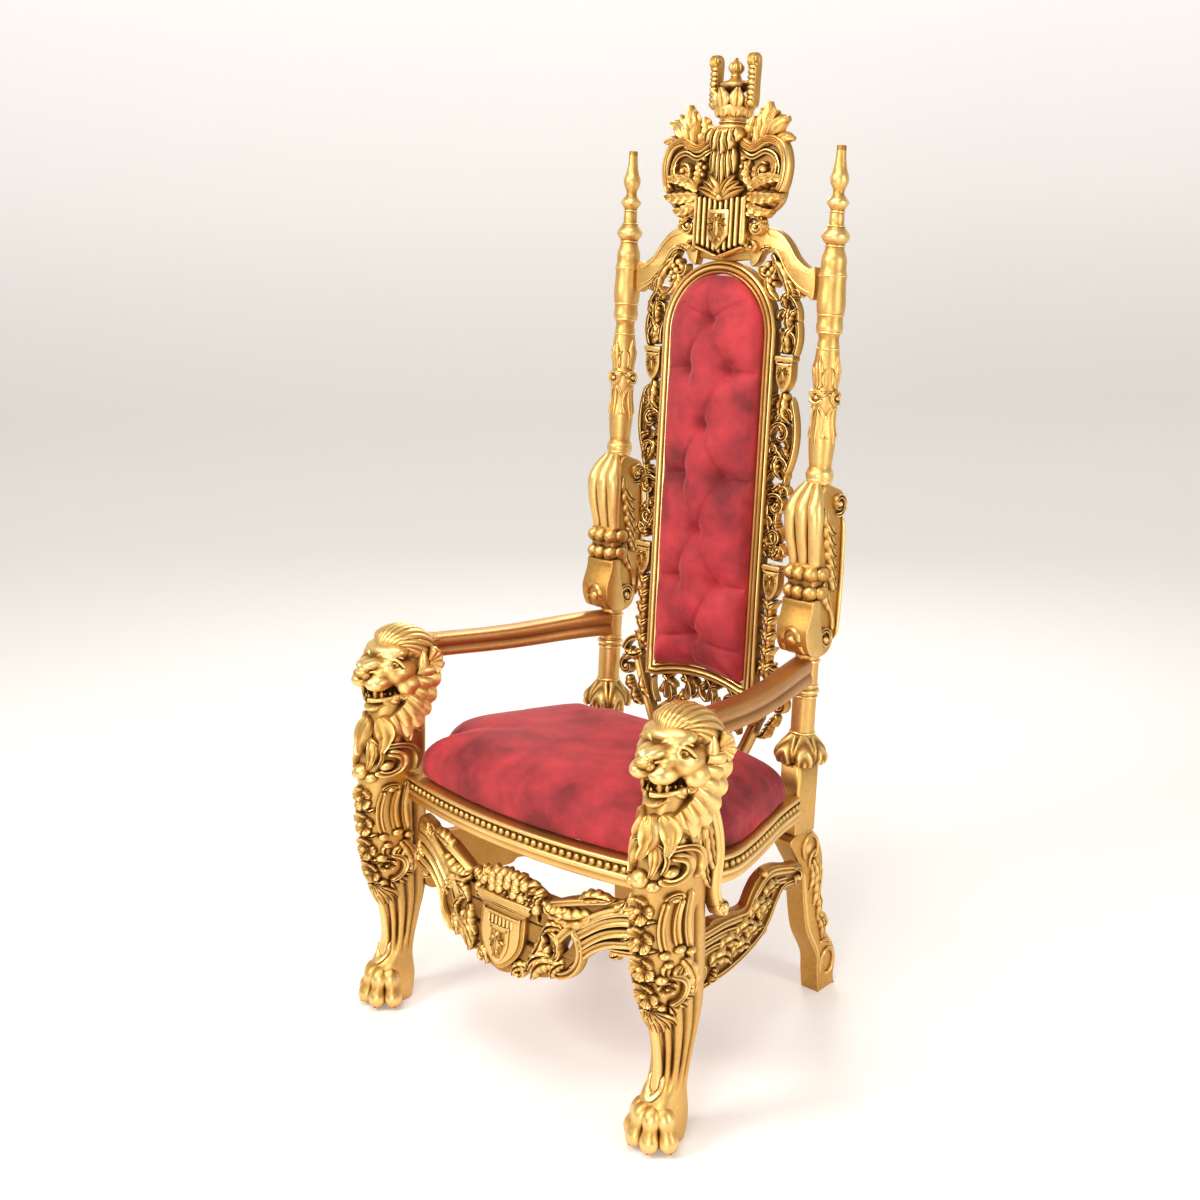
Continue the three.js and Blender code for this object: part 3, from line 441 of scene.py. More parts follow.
def leaf(path, wide, high, low=0.0, lobes=4, deep=0.3, curl=0.0, steps=23, across=11, veins=0.2, fat=0.75,
         reeds=0.0):
    """An acanthus leaf along path(t): its width is an almond cut by lobes, its height a dome with a
    sunk midrib, slanting veins that run into the lobes, and reeds along it. curl lifts the tip."""
    t = np.linspace(0, 1, steps)
    x, y = path(t)
    dx, dy = np.gradient(x, t), np.gradient(y, t)
    size = np.hypot(dx, dy)
    s = np.linspace(-1, 1, across)
    t2, s2 = t[:, None], s[None, :]
    almond = np.sin(np.pi * t2 ** fat * 0.95 + 0.03) ** 0.6 + 0.2 * (1 - t2)
    lobe = np.abs(np.sin(np.pi * (lobes * t2 + 0.5 - 0.45
                                  * np.abs(s2)))) ** 0.6 if lobes else 1 + 0 * t2 * s2
    half = wide / 2 * almond * (1 - 1.3 * deep * (1 - lobe) * np.abs(s2))
    dome = np.cos(s2 * np.pi / 2 * 0.98) ** 0.5
    rib = 1.3 * veins * (lobe - 0.6) * np.clip(np.abs(s2) * 2.2, 0, 1)
    keel = 0.32 * np.exp(-((s2 / 0.14) ** 2))
    grain = reeds * np.cos(2 * TURN * s2)
    lift = (0.66 + 0.34 * np.sin(np.pi * t2)) * dome * (1 + rib + grain - keel) + curl * t2 ** 3
    out = low + (high - low) * lift
    px = x[:, None] - (dy / size)[:, None] * s2 * half
    py = y[:, None] + (dx / size)[:, None] * s2 * half
    back_side = low + (high - low) * curl * 0.8 * t2 ** 3 + 0 * s2
    rings = np.concatenate([stack(px, py, out), stack(px[:, ::-1][:, 1:-1], py[:, ::-1][:, 1:-1],
                                                      back_side[:, 1:-1])], 1)
    # painted shade and highlight: the tone is low in the midrib, high on the dome and the veins
    tone = np.clip(0.3 + 0.5 * dome + rib * 1.6 + grain * 2.0 - keel * 1.4, 0, 1) * (0.85 + 0.15 * t2)
    tone = np.concatenate([tone, np.full((steps, across - 2), 0.4)], 1)
    return Carving().skin(rings, tone)


def ball(x, y, radius, high, low=0.0, sides=16, rows=7, tone=0.9):
    """A round boss: half an ellipsoid standing on a short drum."""
    rise = np.linspace(0, np.pi / 2 * 0.93, rows)
    size = np.concatenate([[1.0], np.cos(rise)])
    out = np.concatenate([[low], low + (high - low) * (0.25 + 0.75 * np.sin(rise))])
    angle = np.linspace(0, TURN, sides, endpoint=False)
    rings = stack(x + radius * size[:, None] * np.cos(angle), y + radius * size[:, None] * np.sin(angle),
                  out[:, None])
    # painted shade and highlight: dark at the foot, brightening to the top
    shade = tone * np.concatenate([[0.1], 0.35 + 0.65 * np.sin(rise)])
    return Carving().skin(rings, shade[:, None])


def blossom(x, y, radius, high, low=0.0, petals=5, start=0.3):
    """An open flower: cupped petals round a ball. The rim's radius is scalloped, each petal is a
    shallow cup with fine rays, and the cuts between petals run down to the heart."""
    angle = np.linspace(0, TURN, petals * 14, endpoint=False)
    wave = np.abs(np.cos(petals * (angle - start) / 2))
    r = np.array([1.0, 1.0, 0.94, 0.8, 0.62, 0.45, 0.33, 0.26])[:, None]
    h = np.array([0.0, 0.45, 0.8, 0.78, 0.6, 0.42, 0.36, 0.5])[:, None]
    rim = 0.78 + 0.22 * wave ** 0.6
    reach = radius * r * (1 - (1 - rim) * np.clip(r * 1.3, 0, 1))
    rays = 0.06 * np.cos(petals * 4 * angle)
    cut = (1 - wave) ** 3
    top = low + (high - low) * h * (1 - 0.55 * cut * (r > 0.3) + rays * (r > 0.4) * (r < 0.95))
    rings = stack(x + reach * np.cos(angle), y + reach * np.sin(angle), top)
    # painted shade and highlight: bright on the petal rims, dark in the heart and in the cuts between
    # petals
    tone = np.clip(np.array([0, 0.5, 0.95, 0.7, 0.45, 0.25, 0.2, 0.5])[:, None] + rays * 3 - cut * 0.5, 0,
                   1)
    flower = Carving().skin(rings, tone)
    return flower.add(ball(x, y, radius * 0.24, high * 0.95, low + (high - low) * 0.2, 10, 5))


def lump(centre, radii, tone=0.8, sides=20, rows=14, tilt=None):
    """A whole ellipsoid."""
    rise = np.linspace(-np.pi / 2, np.pi / 2, rows)[1:-1, None]
    angle = np.linspace(0, TURN, sides, endpoint=False)[None, :]
    points = stack(np.cos(rise) * np.cos(angle), np.cos(rise) * np.sin(angle),
                   np.sin(rise) * np.ones_like(angle))
    points = points * radii
    if tilt is not None:
        points = points @ np.array(tilt).T
    # painted shade and highlight: the underside darker, the top lighter
    shade = tone * (0.55 + 0.45 * np.sin(rise)) * np.ones_like(angle)
    return Carving().skin(points + centre, shade)


def tube(points, radius, sides=8, tone=0.85):
    """A round bar through points (n, 3), radius a number or one for each point."""
    way = np.gradient(points, axis=0)
    way /= np.linalg.norm(way, axis=1, keepdims=True)
    guide = np.array([0.31, 0.11, 0.94]) if abs(way[:, 2]).mean() < 0.8 else np.array([0.95, 0.3, 0.05])
    side = np.cross(way, guide)
    side /= np.linalg.norm(side, axis=1, keepdims=True)
    over = np.cross(side, way)
    angle = np.linspace(0, TURN, sides, endpoint=False)[None, :, None]
    size = np.broadcast_to(np.asarray(radius, float), (len(points),))[:, None, None]
    rings = points[:, None] + size * (np.cos(angle) * side[:, None] + np.sin(angle) * over[:, None])
    return Carving().skin(rings, tone)


leg_half = profile((0, 30), (14, 35), (40, 37), (75, 37), (100, 34), (125, 33), (200, 37), (290, 42),
                   (440, 43), (540, 42), (590, 38), (640, 38))
leg_front = profile((0, -300), (14, -310), (40, -318), (70, -320), (88, -312), (104, -298), (125, -290),
                    (160, -288),
                    (205, -293), (270, -311), (350, -323), (450, -325), (520, -318), (575, -300),
                    (640, -284))
leg_back = profile((0, -240), (40, -231), (100, -232), (160, -213), (220, -191), (300, -181), (420, -177),
                   (520, -171), (640, -160))


def leg_point(angle, z, out=0.0):
    """The leg's surface at an angle round it (0 in front, a quarter turn at the outer side): a
    superellipse between the outlines, pushed out by out."""
    middle, deep = (leg_front(z) + leg_back(z)) / 2, (leg_back(z) - leg_front(z)) / 2
    power = 2.3
    square = 1 / (np.abs(np.sin(angle)) ** power + np.abs(np.cos(angle)) ** power) ** (1 / power)
    x = LEG_X + leg_half(z) * np.sin(angle) * square + out * np.sin(angle)
    y = middle - deep * np.cos(angle) * square - out * np.cos(angle)
    return x, y + SHIFT, z


def shin_flutes(angle, z):
    """Long grooves down the shin that die out under the shell and above the ankle."""
    top = 285 + 150 * smooth(np.abs(angle), 1.2, 1.6)
    depth = smooth(z, 92, 150) * (1 - smooth(z, top - 16, top))
    cuts = 0
    for centre in (0.36, 0.8, 1.3, 1.75, 2.3):
        cuts = cuts + bell(np.abs(angle), centre + (z - 180) * 0.0006, 0.085)
    return 7.5 * depth * cuts


def on_leg(x, z, w):
    """A motif's plane wrapped round the leg: across becomes an angle, out stands off the surface."""
    return leg_point(x / 44.0, z, w - 1.0)


leg = Carving()
angle = np.linspace(-np.pi, np.pi, 96, endpoint=False)[None, :]
z = np.concatenate([np.linspace(0, 120, 22), np.linspace(126, 640, 76)])[:, None]
cuts = shin_flutes(angle, z)
# painted shade: the tone drops in the flutes
leg.skin(stack(*leg_point(angle, z + 0 * angle, -cuts)), 0.62 - cuts * 0.09)
# four toes, each a bent finger with two knuckles and a short claw
for aim in (-62, -21, 21, 62):
    way = np.array([math.sin(math.radians(aim)), -math.cos(math.radians(aim))])
    s = np.linspace(0, 1, 18)
    reach = profile((0, 16), (0.3, 30), (0.55, 39), (0.75, 44), (0.9, 45), (1, 42))(s)
    height = profile((0, 74), (0.3, 60), (0.55, 41), (0.75, 24), (0.9, 14), (1, 7))(s)
    thick = profile((0, 13), (0.22, 17.5), (0.36, 18), (0.54, 14), (0.76, 18.5), (0.93, 13.5), (1, 7))(s)
    at = np.array([LEG_X, -288 + SHIFT])
    # painted highlight on the knuckles of each toe
    leg.add(tube(stack(at[0] + way[0] * reach, at[1] + way[1] * reach, height), thick, 16,
                 0.45 + 0.45 * bell(s[:, None], 0.38, 0.13) + 0.45 * bell(s[:, None], 0.78, 0.13)))
    leg.add(lump((at[0] + way[0] * 56, at[1] + way[1] * 56, 11), (4, 4, 4), 0.3, 10, 8))
leg.add(stroke(bow((0, 268), (0, 96), 0), lambda t: 20 + 12 * t ** 2, 8, -6, 0.12, 30), on_leg)
leg.add(stroke(through((-17, 128), (-15, 104), (0, 92), (15, 104), (17, 128)), 13, 8, -5, 0.05, 20),
        on_leg)

garland = Carving()
for k, z0 in enumerate((446, 393, 340, 288)):
    garland.add(blossom(0, z0, 25, 17, -6, start=0.35 * k))
    for side in (-1, 1):
        garland.add(leaf(bow((side * 8, z0 - 26), (side * 30, z0 - 18), 0.1), 15, 10, -6, 2, 0.2,
                         steps=14, across=9))
garland.add(ball(0, 500, 17, 19, -6)).add(ball(22, 490, 11, 14, -5)).add(ball(-22, 490, 11, 14, -5))
garland.add(blossom(0, 246, 15, 14, -5, 5))
for side in (-1, 1):
    straps = (
        stroke(bow((side * 40, 462), (side * 36, 372), -0.06 * side), 11, 13, -5, 0.45, 24),
        stroke(bow((side * 58, 462), (side * 53, 376), -0.06 * side), 11, 12, -5, 0.45, 24),
        stroke(spiral((side * 49, 462), (10, 7), (180, -20) if side > 0 else (0, 200)), 9, 13, -5, 0.4,
               18),
        ball(side * 36, 366, 8, 13, -4), ball(side * 54, 370, 8, 12, -4), ball(side * 49, 462, 6, 12, -4),
        stroke(bow((side * 71, 470), (side * 67, 366), -0.05 * side), 11, 11, -5, 0.45, 24),
              ball(side * 69, 358, 7, 11, -4),
        stroke(spiral((side * 42, 512), (26, 12), (100, -150) if side > 0 else (80, 330)), 15, 19, -5,
               0.35, 30),
        ball(side * 42, 512, 10, 17, -4, 12, 6), stroke(spiral((side * 46, 506), (44, 38),
            (110, -40) if side > 0 else (70, 220)), 12, 13, -5, 0.4, 24),
        blossom(side * 36, 306, 13, 15, -4, 5), leaf(bow((side * 58, 350), (side * 66, 268), 0.1 * side),
                                                     24, 13, -5, 4, 0.3),
    )
    for item in straps:
        garland.add(item)
    garland.add(stroke(spiral((side * 30, 300), (30, 30), (70, -80) if side > 0 else (110, 260)), 10, 15,
                       -5, 0.3, 24))
    garland.add(ball(side * 30, 322, 9, 15, -4)).add(ball(side * 40, 348, 7, 12, -4)).add(ball(side * 26,
        268, 7, 13, -4))
    for k in range(8):
        a = math.radians(78 - 22 * k)
        a = a if side > 0 else math.pi - a
        c = (side * 30, 298)
        near = (c[0] + 30 * math.cos(a), c[1] + 30 * math.sin(a))
        far = (c[0] + 48 * math.cos(a), c[1] + 52 * math.sin(a))
        garland.add(leaf(bow(near, far, 0.1 * side), 15, 12, -5, 1, 0.1, steps=12, across=9, fat=1.2))
for k in range(-4, 5):
    near, far = (k * 3.5, 258), (k * 10.5, 206 + abs(k) * 5)
    garland.add(leaf(bow(near, far, 0.04 * k), 15, 11, -5, 1, 0.05, steps=14, across=9, fat=1.3))
knee = (
    ((0, 604), (0, 536), 44, 21), ((22, 606), (34, 542), 40, 18), ((42, 600), (66, 552), 34, 14),
        ((56, 590), (88, 560), 26, 10),
    ((12, 566), (18, 508), 26, 15),
)
for (a, b, wide, high) in knee:
    for side in ((-1, 1) if a[0] else (1,)):
        garland.add(leaf(bow((side * a[0], a[1]), (side * b[0], b[1]), 0.12 * side), wide, high, -6, 1,
                         0.3, 0.25,
                             across=17, reeds=0.16))
for side in (-1, 1):
    garland.add(stroke(bow((side * 8, 568), (side * 30, 508), 0.25 * side), 8, 17, -4, 0.3, 20))
leg.add(garland, on_leg)

# behind the leg: leaves that hang from the mane, and a bracket that curls out against the side rail
hanging = Carving()
for a, b, wide in (((-20, 640), (0, 520), 44), ((-4, 600), (8, 470), 38), ((-26, 560), (-10, 450), 34)):
    hanging.add(leaf(bow(a, b, -0.12), wide, 12, -12, 6, 0.3, 0.1))
bracket = stroke(through((-6, 620), (10, 560), (14, 500), (4, 440), (14, 402), (22, 392)),
                 lambda t: 30 - 10 * t, 15, -14, 0.2, 40)
bracket.add(ball(20, 402, 13, 18, -12)).add(stroke(spiral((12, 402), (20, 8), (-70, 190)), 8, 17, -12,
                                                   0.3, 24))
leg.add(bracket.add(hanging), lambda x, y, w: (LEG_X + leg_half(y) + w - 8, x - 182 + SHIFT, y))

# the head's masses: across, forwards and up from its centre, and their three radii
HEAD_MASSES = (
    (0, -2, 6, 52, 56, 52), (9, 62, 27, 19, 46, 13), (0, 98, 15, 14, 20, 11), (21, 79, -7, 23, 31, 18),
               (33, 38, 6, 27, 40, 26),
    (27, 54, 22, 23, 28, 18), (23, 68, 12, 19, 26, 12), (0, 38, 46, 52, 34, 20), (22, 54, 40, 24, 18, 9),
               (46, 24, -20, 19, 30, 22), (42, 14, -42, 20, 28, 18),
    (0, 62, -54, 27, 36, 12), (33, 46, -46, 12, 18, 12), (0, 80, -60, 19, 18, 12),
               (0, 20, -66, 40, 50, 28), (0, 4, -88, 41, 58, 32),
    (54, -6, -2, 10, 14, 46),
)
HOLLOWS = (
    (0, 90, -30, 25, 34, 7.0), (30, 70, -32, 13, 24, 6.0), (44, 58, 26, 11, 9, 7), (8, 118, 9, 4, 6, 3),
)


def head_reach(way):
    """How far each direction from the head's centre runs before it leaves the masses. Each mass
    gives exp(k(1 - q)), q its ellipsoid's equation, and the skin is where their sum, less the
    hollows, is 1. Halving the step finds it."""
    near, far = np.full(way.shape[:-1], 18.0), np.full(way.shape[:-1], 150.0)
    for _ in range(18):
        reach = (near + far) / 2
        x, f, u = (way * reach[..., None])[..., 0], (way * reach[..., None])[...,
            1], (way * reach[..., None])[..., 2]
        field = 0
        for group, sign, sharp in ((HEAD_MASSES, 1, 7.0), (HOLLOWS, -2.2, 5.0)):
            for a, b, c, ra, rb, rc in group:
                for side in ((-1, 1) if a else (1,)):
                    q = ((x - side * a) / ra) ** 2 + ((f - b) / rb) ** 2 + ((u - c) / rc) ** 2
                    field = field + sign * np.exp(np.minimum(sharp * (1 - q), 3 if sign > 0 else 1))
        near, far = np.where(field > 1, reach, near), np.where(field > 1, far, reach)
    return near


def at_head(x, forward, up):
    """A point given in the lion head's own axes, moved to the head's place on the leg."""
    return stack(LEG_X + np.asarray(x, float), HEAD_Y + SHIFT - np.asarray(forward, float),
                 HEAD_Z + np.asarray(up, float))


head = Carving()
rise = np.linspace(-np.pi / 2, np.pi / 2, 112)[1:-1, None]
swing = np.linspace(-np.pi, np.pi, 160, endpoint=False)[None, :]
way = stack(np.cos(rise) * np.sin(swing), np.cos(rise) * np.cos(swing), np.sin(rise) + 0 * swing)
reach = head_reach(way)
soft = sum(np.roll(np.roll(reach, i, 0), j, 1) for i in (-4, 0, 4) for j in (-4, 0, 4)) / 9
skin_points = way * reach[..., None]
# painted shade and highlight: darker where the skin dips below its smoothed neighbours, lighter where it
# stands out
head.skin(at_head(*np.moveaxis(skin_points, -1, 0)), np.clip(0.68 + (reach - soft) * 0.14, 0.1, 1))


def eye_line(t, lift):
    """Half an almond round the eyeball, as across, forwards and up."""
    return stack(30 + 30 * t, 66 - 22 * t ** 1.3, 27 - 5 * t + lift * np.sin(np.pi * t) - 3 * t ** 2)


for side in (-1, 1):
    flip = [side, 1, 1]
    parts = Carving()
    parts.add(lump((41, 52, 25), (10, 10, 9), 0.9))
    # painted shade: the pupil is a small lump given the dark hollow tone
    parts.add(lump((47.5, 60, 26), (3.0, 2.2, 3.0), 0.0, 10, 8))
    t = np.linspace(0, 1, 18)
    parts.add(tube(eye_line(t, 13.0) + [1, 0, 0], 2.6 * ends_down(t) + 0.6, 8, 0.9))
    parts.add(tube(eye_line(t, -5.0) - [-1, 2, 3], 2.2 * ends_down(t) + 0.6, 8, 0.85))
    brow = stack(10 + 42 * t, 73 - 32 * t ** 1.2, 39 + 8 * np.sin(np.pi * t ** 0.8) - 3 * t)
    parts.add(tube(brow, 5.5 * ends_down(t, 0.3, 0.4) + 0.6, 10, 0.9))
    # the muzzle's crescent, the two cheek pads and the rolled lip
    parts.add(tube(stack(14 + 28 * np.sin(np.pi * t * 0.55), 98 - 48 * t,
                         14 - 36 * t ** 1.6 + 9 * np.sin(np.pi * t)),
                   2.4 * ends_down(t) + 0.5, 8, 0.85))
    parts.add(lump((45, 22, -16), (15, 29, 19), 0.85)).add(lump((43, 18, -38), (15, 27, 14), 0.8))
    parts.add(lump((34, 48, -44), (10, 15, 11), 0.95))
    parts.add(lump((13, 103, 9), (7, 10, 7), 0.95))
    jaw = stack(3 + 31 * np.sin(np.pi * t * 0.5), 93 - 46 * t ** 1.6, -44 + 2 * t)
    parts.add(tube(jaw, 5.0, 10, 0.85))
    for k in range(6):
        parts.add(lump((4 + 6 * k, 92 - 8 * k, -36), (3.0, 3.0, 4.5), 0.75, 8, 7))
    parts.add(lump((18, 88, -29), (4.0, 4.4, 12), 0.95, 10, 9)).add(lump((25, 78, -34), (3.6, 4, 8), 0.9,
        10, 9))
    # the fluted ear
    for k in range(5):
        a0 = math.radians(64 - 27 * k)
        s = np.linspace(0, 1, 14)
        ear = stack(58 + 10 * s, -16 - 28 * s * math.cos(a0), 18 + 32 * s * math.sin(a0))
        parts.add(tube(ear, (3.5 + 6.5 * s) * ends_down(s, 0.1, 0.15) + 0.8, 10, 0.45 + 0.5 * s[:, None]))
    # broad locks that flare from the cheek down the side of the throat, in two layers
    for layer, (count, reach_out) in enumerate(((7, 1.0), (6, 1.55))):
        p = np.linspace(0, 1, count * 8)[:, None]
        q = np.linspace(0, 1, 11)[None, :]
        inner = [profile(*pairs)(p) for pairs in (((0, 52), (0.4, 50), (0.75, 42), (1, 26)),
                                                  ((0, 6), (0.4, 28), (0.75, 50), (1, 72)),
                                                  ((0, 14), (0.4, -30), (0.75, -64), (1, -84)))]
        span = [profile(*pairs)(p) * reach_out for pairs in (((0, 12), (0.5, 12), (1, 8)),
            ((0, -34), (0.5, -26), (1, -6)),
                                                             ((0, -2), (0.5, -26), (1, -34)))]
        lock = np.abs(np.sin(np.pi * (count * p + 0.5 * layer))) ** 0.5
        swell = (3 + 7 * lock) * (0.6 + 0.4 * np.sin(np.pi * (0.15 + 0.8 * q))) - 5 * layer
        x, f, u = (inner[k] + span[k] * q * (0.86 + 0.14 * lock) for k in range(3))
        skin_side = stack(x + swell, f + 0.3 * swell, u)
        under = stack(x - 14, f - 4, u)[:, ::-1]
        # painted shade between the locks and on their undersides, painted highlight on each lock
        tone = np.concatenate([0.2 + 0.6 * lock + 0.15 * q, 0 * under[:, :, 0]], 1)
        parts.add(Carving().skin(np.concatenate([skin_side, under], 1), tone))
    head.add(Carving().add(parts, lambda x, f, u: tuple(np.moveaxis(at_head(x * side, f, u), -1, 0)),
                           flip=side > 0))
# the hair: one cap that rolls over at the brow and sweeps back and down in fine ridges
v = np.linspace(0, 1, 46)[:, None]
q = np.linspace(-1, 1, 97)[None, :]
roll = np.sqrt(np.clip(1 - (1 - np.clip(v / 0.16, 0, 1)) ** 2, 0, 1))
fall = 14 + 34 * v ** 0.8
wide = 45 + 14 * np.sin(np.pi * np.clip(v * 0.75, 0, 1)) ** 0.8 - 16 * v ** 3
high = 66 + 30 * np.sin(np.pi * (0.12 + 0.55 * v)) - 34 * v ** 2.5
strand = np.abs(np.cos(np.pi * (9 * np.abs(q) ** 0.9 - 5.5 * v * np.abs(q) + 2.5 * v)))
ridge = (2.8 * strand ** 0.7 - 1.2) * roll
bend = q * np.pi / 2
tall = high - (62 - fall)
cap_x = (wide * (0.62 + 0.38 * roll) + ridge) * np.sin(bend)
cap_up = (62 - fall) + (tall * (0.35 + 0.65 * roll) + ridge) * np.abs(np.cos(bend)) ** 0.8
cap_f = 62 - 118 * v - 34 * np.abs(q) ** 1.6 * (1 - v) + 0 * q
top = stack(cap_x, cap_f, cap_up)
under = stack(cap_x[:, ::-1][:, 1:-1] * 0.8, cap_f[:, ::-1][:, 1:-1], 62 - fall - 14 + 0 * cap_x[:, 1:-1])
# painted shade between the strands and under the cap, painted highlight on each strand
tone = np.concatenate([0.2 + 0.75 * strand, 0 * under[:, :, 0]], 1)
cap = Carving().skin(np.concatenate([top, under], 1), tone)
head.add(Carving().add(lump((0, 107, 14), (17, 12, 9), 0.95, 24, 16), lambda x, f,
                       u: tuple(np.moveaxis(at_head(x, f, u), -1, 0)),
                       flip=True))
head.add(cap, lambda x, f, u: tuple(np.moveaxis(at_head(x, f, u), -1, 0)), flip=True)
leg.add(head)

leg.piece("front_leg_right", gilt)
leg.piece("front_leg_left", gilt, mirrored=True)

# ------------------------------------------------------------------ posts
# Square blocks at seat height, each capped by a dome of drooping petals that holds a plain turned
# column. Everything from here up stands in the raked frame of the back.


def raked(x, depth, height):
    """Across, depth behind the post line and height along it, as the throne's own x, y, z."""
    y = POST_FOOT_Y + SHIFT + depth * math.cos(RAKE) + height * math.sin(RAKE)
    return x, y, height * math.cos(RAKE) - depth * math.sin(RAKE)


def on_back(x, z, w):
    """A panel's plane stood up on the raked back: z is height above the floor, w stands forward."""
    return raked(x, -w, z / math.cos(RAKE))


def at_post(x, depth, z):
    """A point given about the right post's axis, z upright, turned to length along the raked post."""
    return raked(x + POST_X, depth, z / math.cos(RAKE))


def turned(radius, low, high, steps=60, sides=36, tone=0.65):
    """A turned solid: radius(height) swept round the post line."""
    h = np.linspace(low, high, steps)[:, None]
    a = np.linspace(0, TURN, sides, endpoint=False)[None, :]
    r = radius(h)
    # painted shade and highlight: lighter on the swellings, darker in the coves
    shade = np.clip(tone + 0.05 * (r - (np.roll(r, 3, 0) + np.roll(r, -3, 0)) / 2), 0, 1)
    return Carving().skin(stack(r * np.cos(a), r * np.sin(a), h + 0 * a), shade)


def rib(radius, height, thick, sides=36, tone=0.95):
    """A turned bead: a small circle swept round the post line."""
    a = np.linspace(0, TURN, sides, endpoint=False)[:, None]
    b = np.linspace(0, TURN, 8, endpoint=False)[None, :]
    r = radius + thick * np.cos(b)
    return Carving().skin(stack(r * np.cos(a), r * np.sin(a), height + thick * np.sin(b) + 0 * a), tone,
                          hoop=True)


def block(half_x, half_y, low, high, ease=2.0, tone=0.6):
    """A square block whose edges are eased."""
    a = np.linspace(0, TURN, 48, endpoint=False)[None, :] + TURN / 96
    square = 1 / (np.abs(np.sin(a)) ** 14 + np.abs(np.cos(a)) ** 14) ** (1 / 14)
    rows = np.array([[low, ease], [low + ease, 0], [high - ease, 0], [high, ease]])
    x = (half_x - rows[:, 1:]) * square * np.cos(a)
    y = (half_y - rows[:, 1:]) * square * np.sin(a)
    return Carving().skin(stack(x, y, rows[:, :1] + 0 * a), tone)


def rounded(points, per=5):
    """A closed Catmull-Rom curve through the points."""
    p = np.array(points, float)
    before, after, beyond = np.roll(p, 1, 0), np.roll(p, -1, 0), np.roll(p, -2, 0)
    t = np.linspace(0, 1, per, endpoint=False)[None, :, None]
    a, b, c, d = (q[:, None, :] for q in (before, p, after, beyond))
    curve = 0.5 * (2 * b + (c - a) * t + (2 * a - 5 * b + 4 * c - d) * t ** 2
                   + (3 * b - a - 3 * c + d) * t ** 3)
    return curve.reshape(-1, 2)


def plate(outline, low, high, holes=(), ease=2.5, tone=0.5, per=5, rim=0.75):
    """A board with eased edges from a smooth closed outline, pierced by oval holes
    (x, y, wide, tall, tilt in degrees)."""
    loops = [rounded(outline, per)]
    area = np.sum(loops[0][:, 0] * np.roll(loops[0][:, 1], -1)
                  - loops[0][:, 1] * np.roll(loops[0][:, 0], -1))
    if area < 0:
        loops[0] = loops[0][::-1]
    for x, y, wide, tall, tilt in holes:
        turn = -np.linspace(0, TURN, 18, endpoint=False)
        a, b = wide / 2 * np.cos(turn), tall / 2 * np.sin(turn)
        c, s = math.cos(math.radians(tilt)), math.sin(math.radians(tilt))
        loops.append(np.stack([x + a * c - b * s, y + a * s + b * c], 1))
    points, tones, quads, tris = [], [], [], []
    # painted shade and highlight: the board's sides darker, the rim of the eased edge brighter
    rows = ((0, low, 0.42), (0, high - ease, 0.35), (ease * 0.3, high - ease * 0.3, rim),
            (ease, high, tone))
    fronts, backs, count = [], [], 0
    for loop in loops:
        way = np.roll(loop, -1, 0) - np.roll(loop, 1, 0)
        inward = np.stack([-way[:, 1], way[:, 0]], 1) / np.maximum(np.linalg.norm(way, axis=1,
            keepdims=True), 1e-6)
        n = len(loop)
        for k, (inset, out, shade) in enumerate(rows):
            points.append(np.column_stack([loop + inward * inset, np.full(n, out)]))
            tones.append(np.full(n, shade))
            if k:
                i = count + (k - 1) * n + np.arange(n)
                j = count + (k - 1) * n + (np.arange(n) + 1) % n
                quads.append(np.stack([i, j, j + n, i + n], 1))
        backs.append(count + np.arange(n))
        fronts.append(count + 3 * n + np.arange(n))
        count += 4 * n
    flat = np.concatenate(points)
    for group, up in ((fronts, True), (backs, False)):
        index = np.concatenate(group)
        filled = tessellate_polygon([[Vector((*flat[i][:2], 0)) for i in loop] for loop in group])
        fill = index[np.array(filled)]
        a, b, c = (flat[fill[:, k], :2] for k in range(3))
        turn = (b[:, 0] - a[:, 0]) * (c[:, 1] - a[:, 1]) - (b[:, 1] - a[:, 1]) * (c[:, 0] - a[:, 0])
        fill = np.where((turn > 0)[:, None] == up, fill, fill[:, ::-1])
        tris.append(fill[np.abs(turn) > 1e-9])
    return Carving().keep(flat, np.concatenate(tones), np.concatenate(quads), np.concatenate(tris))


post = Carving().add(block(23.5, 32.5, 363, 505))
a = np.linspace(0, TURN, 160, endpoint=False)[None, :]
rise = np.array([3, 0, 0.5, 3, 7, 12, 17, 22, 27, 32, 37, 42, 46, 50, 54, 58, 61, 64])[:, None] * 1.0
size = profile((0, 46), (10, 50), (22, 48.5), (34, 42), (45, 32), (54, 24.5), (60, 21), (64, 19))(rise)
size[0] = 40
petal = np.mod(a / TURN * 6 + 0.25, 1) * 2 - 1
square = 1 / (np.abs(np.sin(a)) ** 3 + np.abs(np.cos(a)) ** 3) ** (1 / 3)
fade = 1 - smooth(rise, 48, 63)
arch = np.cos(TURN * 2.1 * np.hypot(petal * 0.9, (rise - 2) / 58)) * fade
seam = np.abs(petal) ** 6
reach = size * square * 0.94 * (1 - 0.12 * seam * fade) + 1.9 * arch
droop = 7 * np.abs(petal) ** 3 * (1 - smooth(rise, 0, 24))
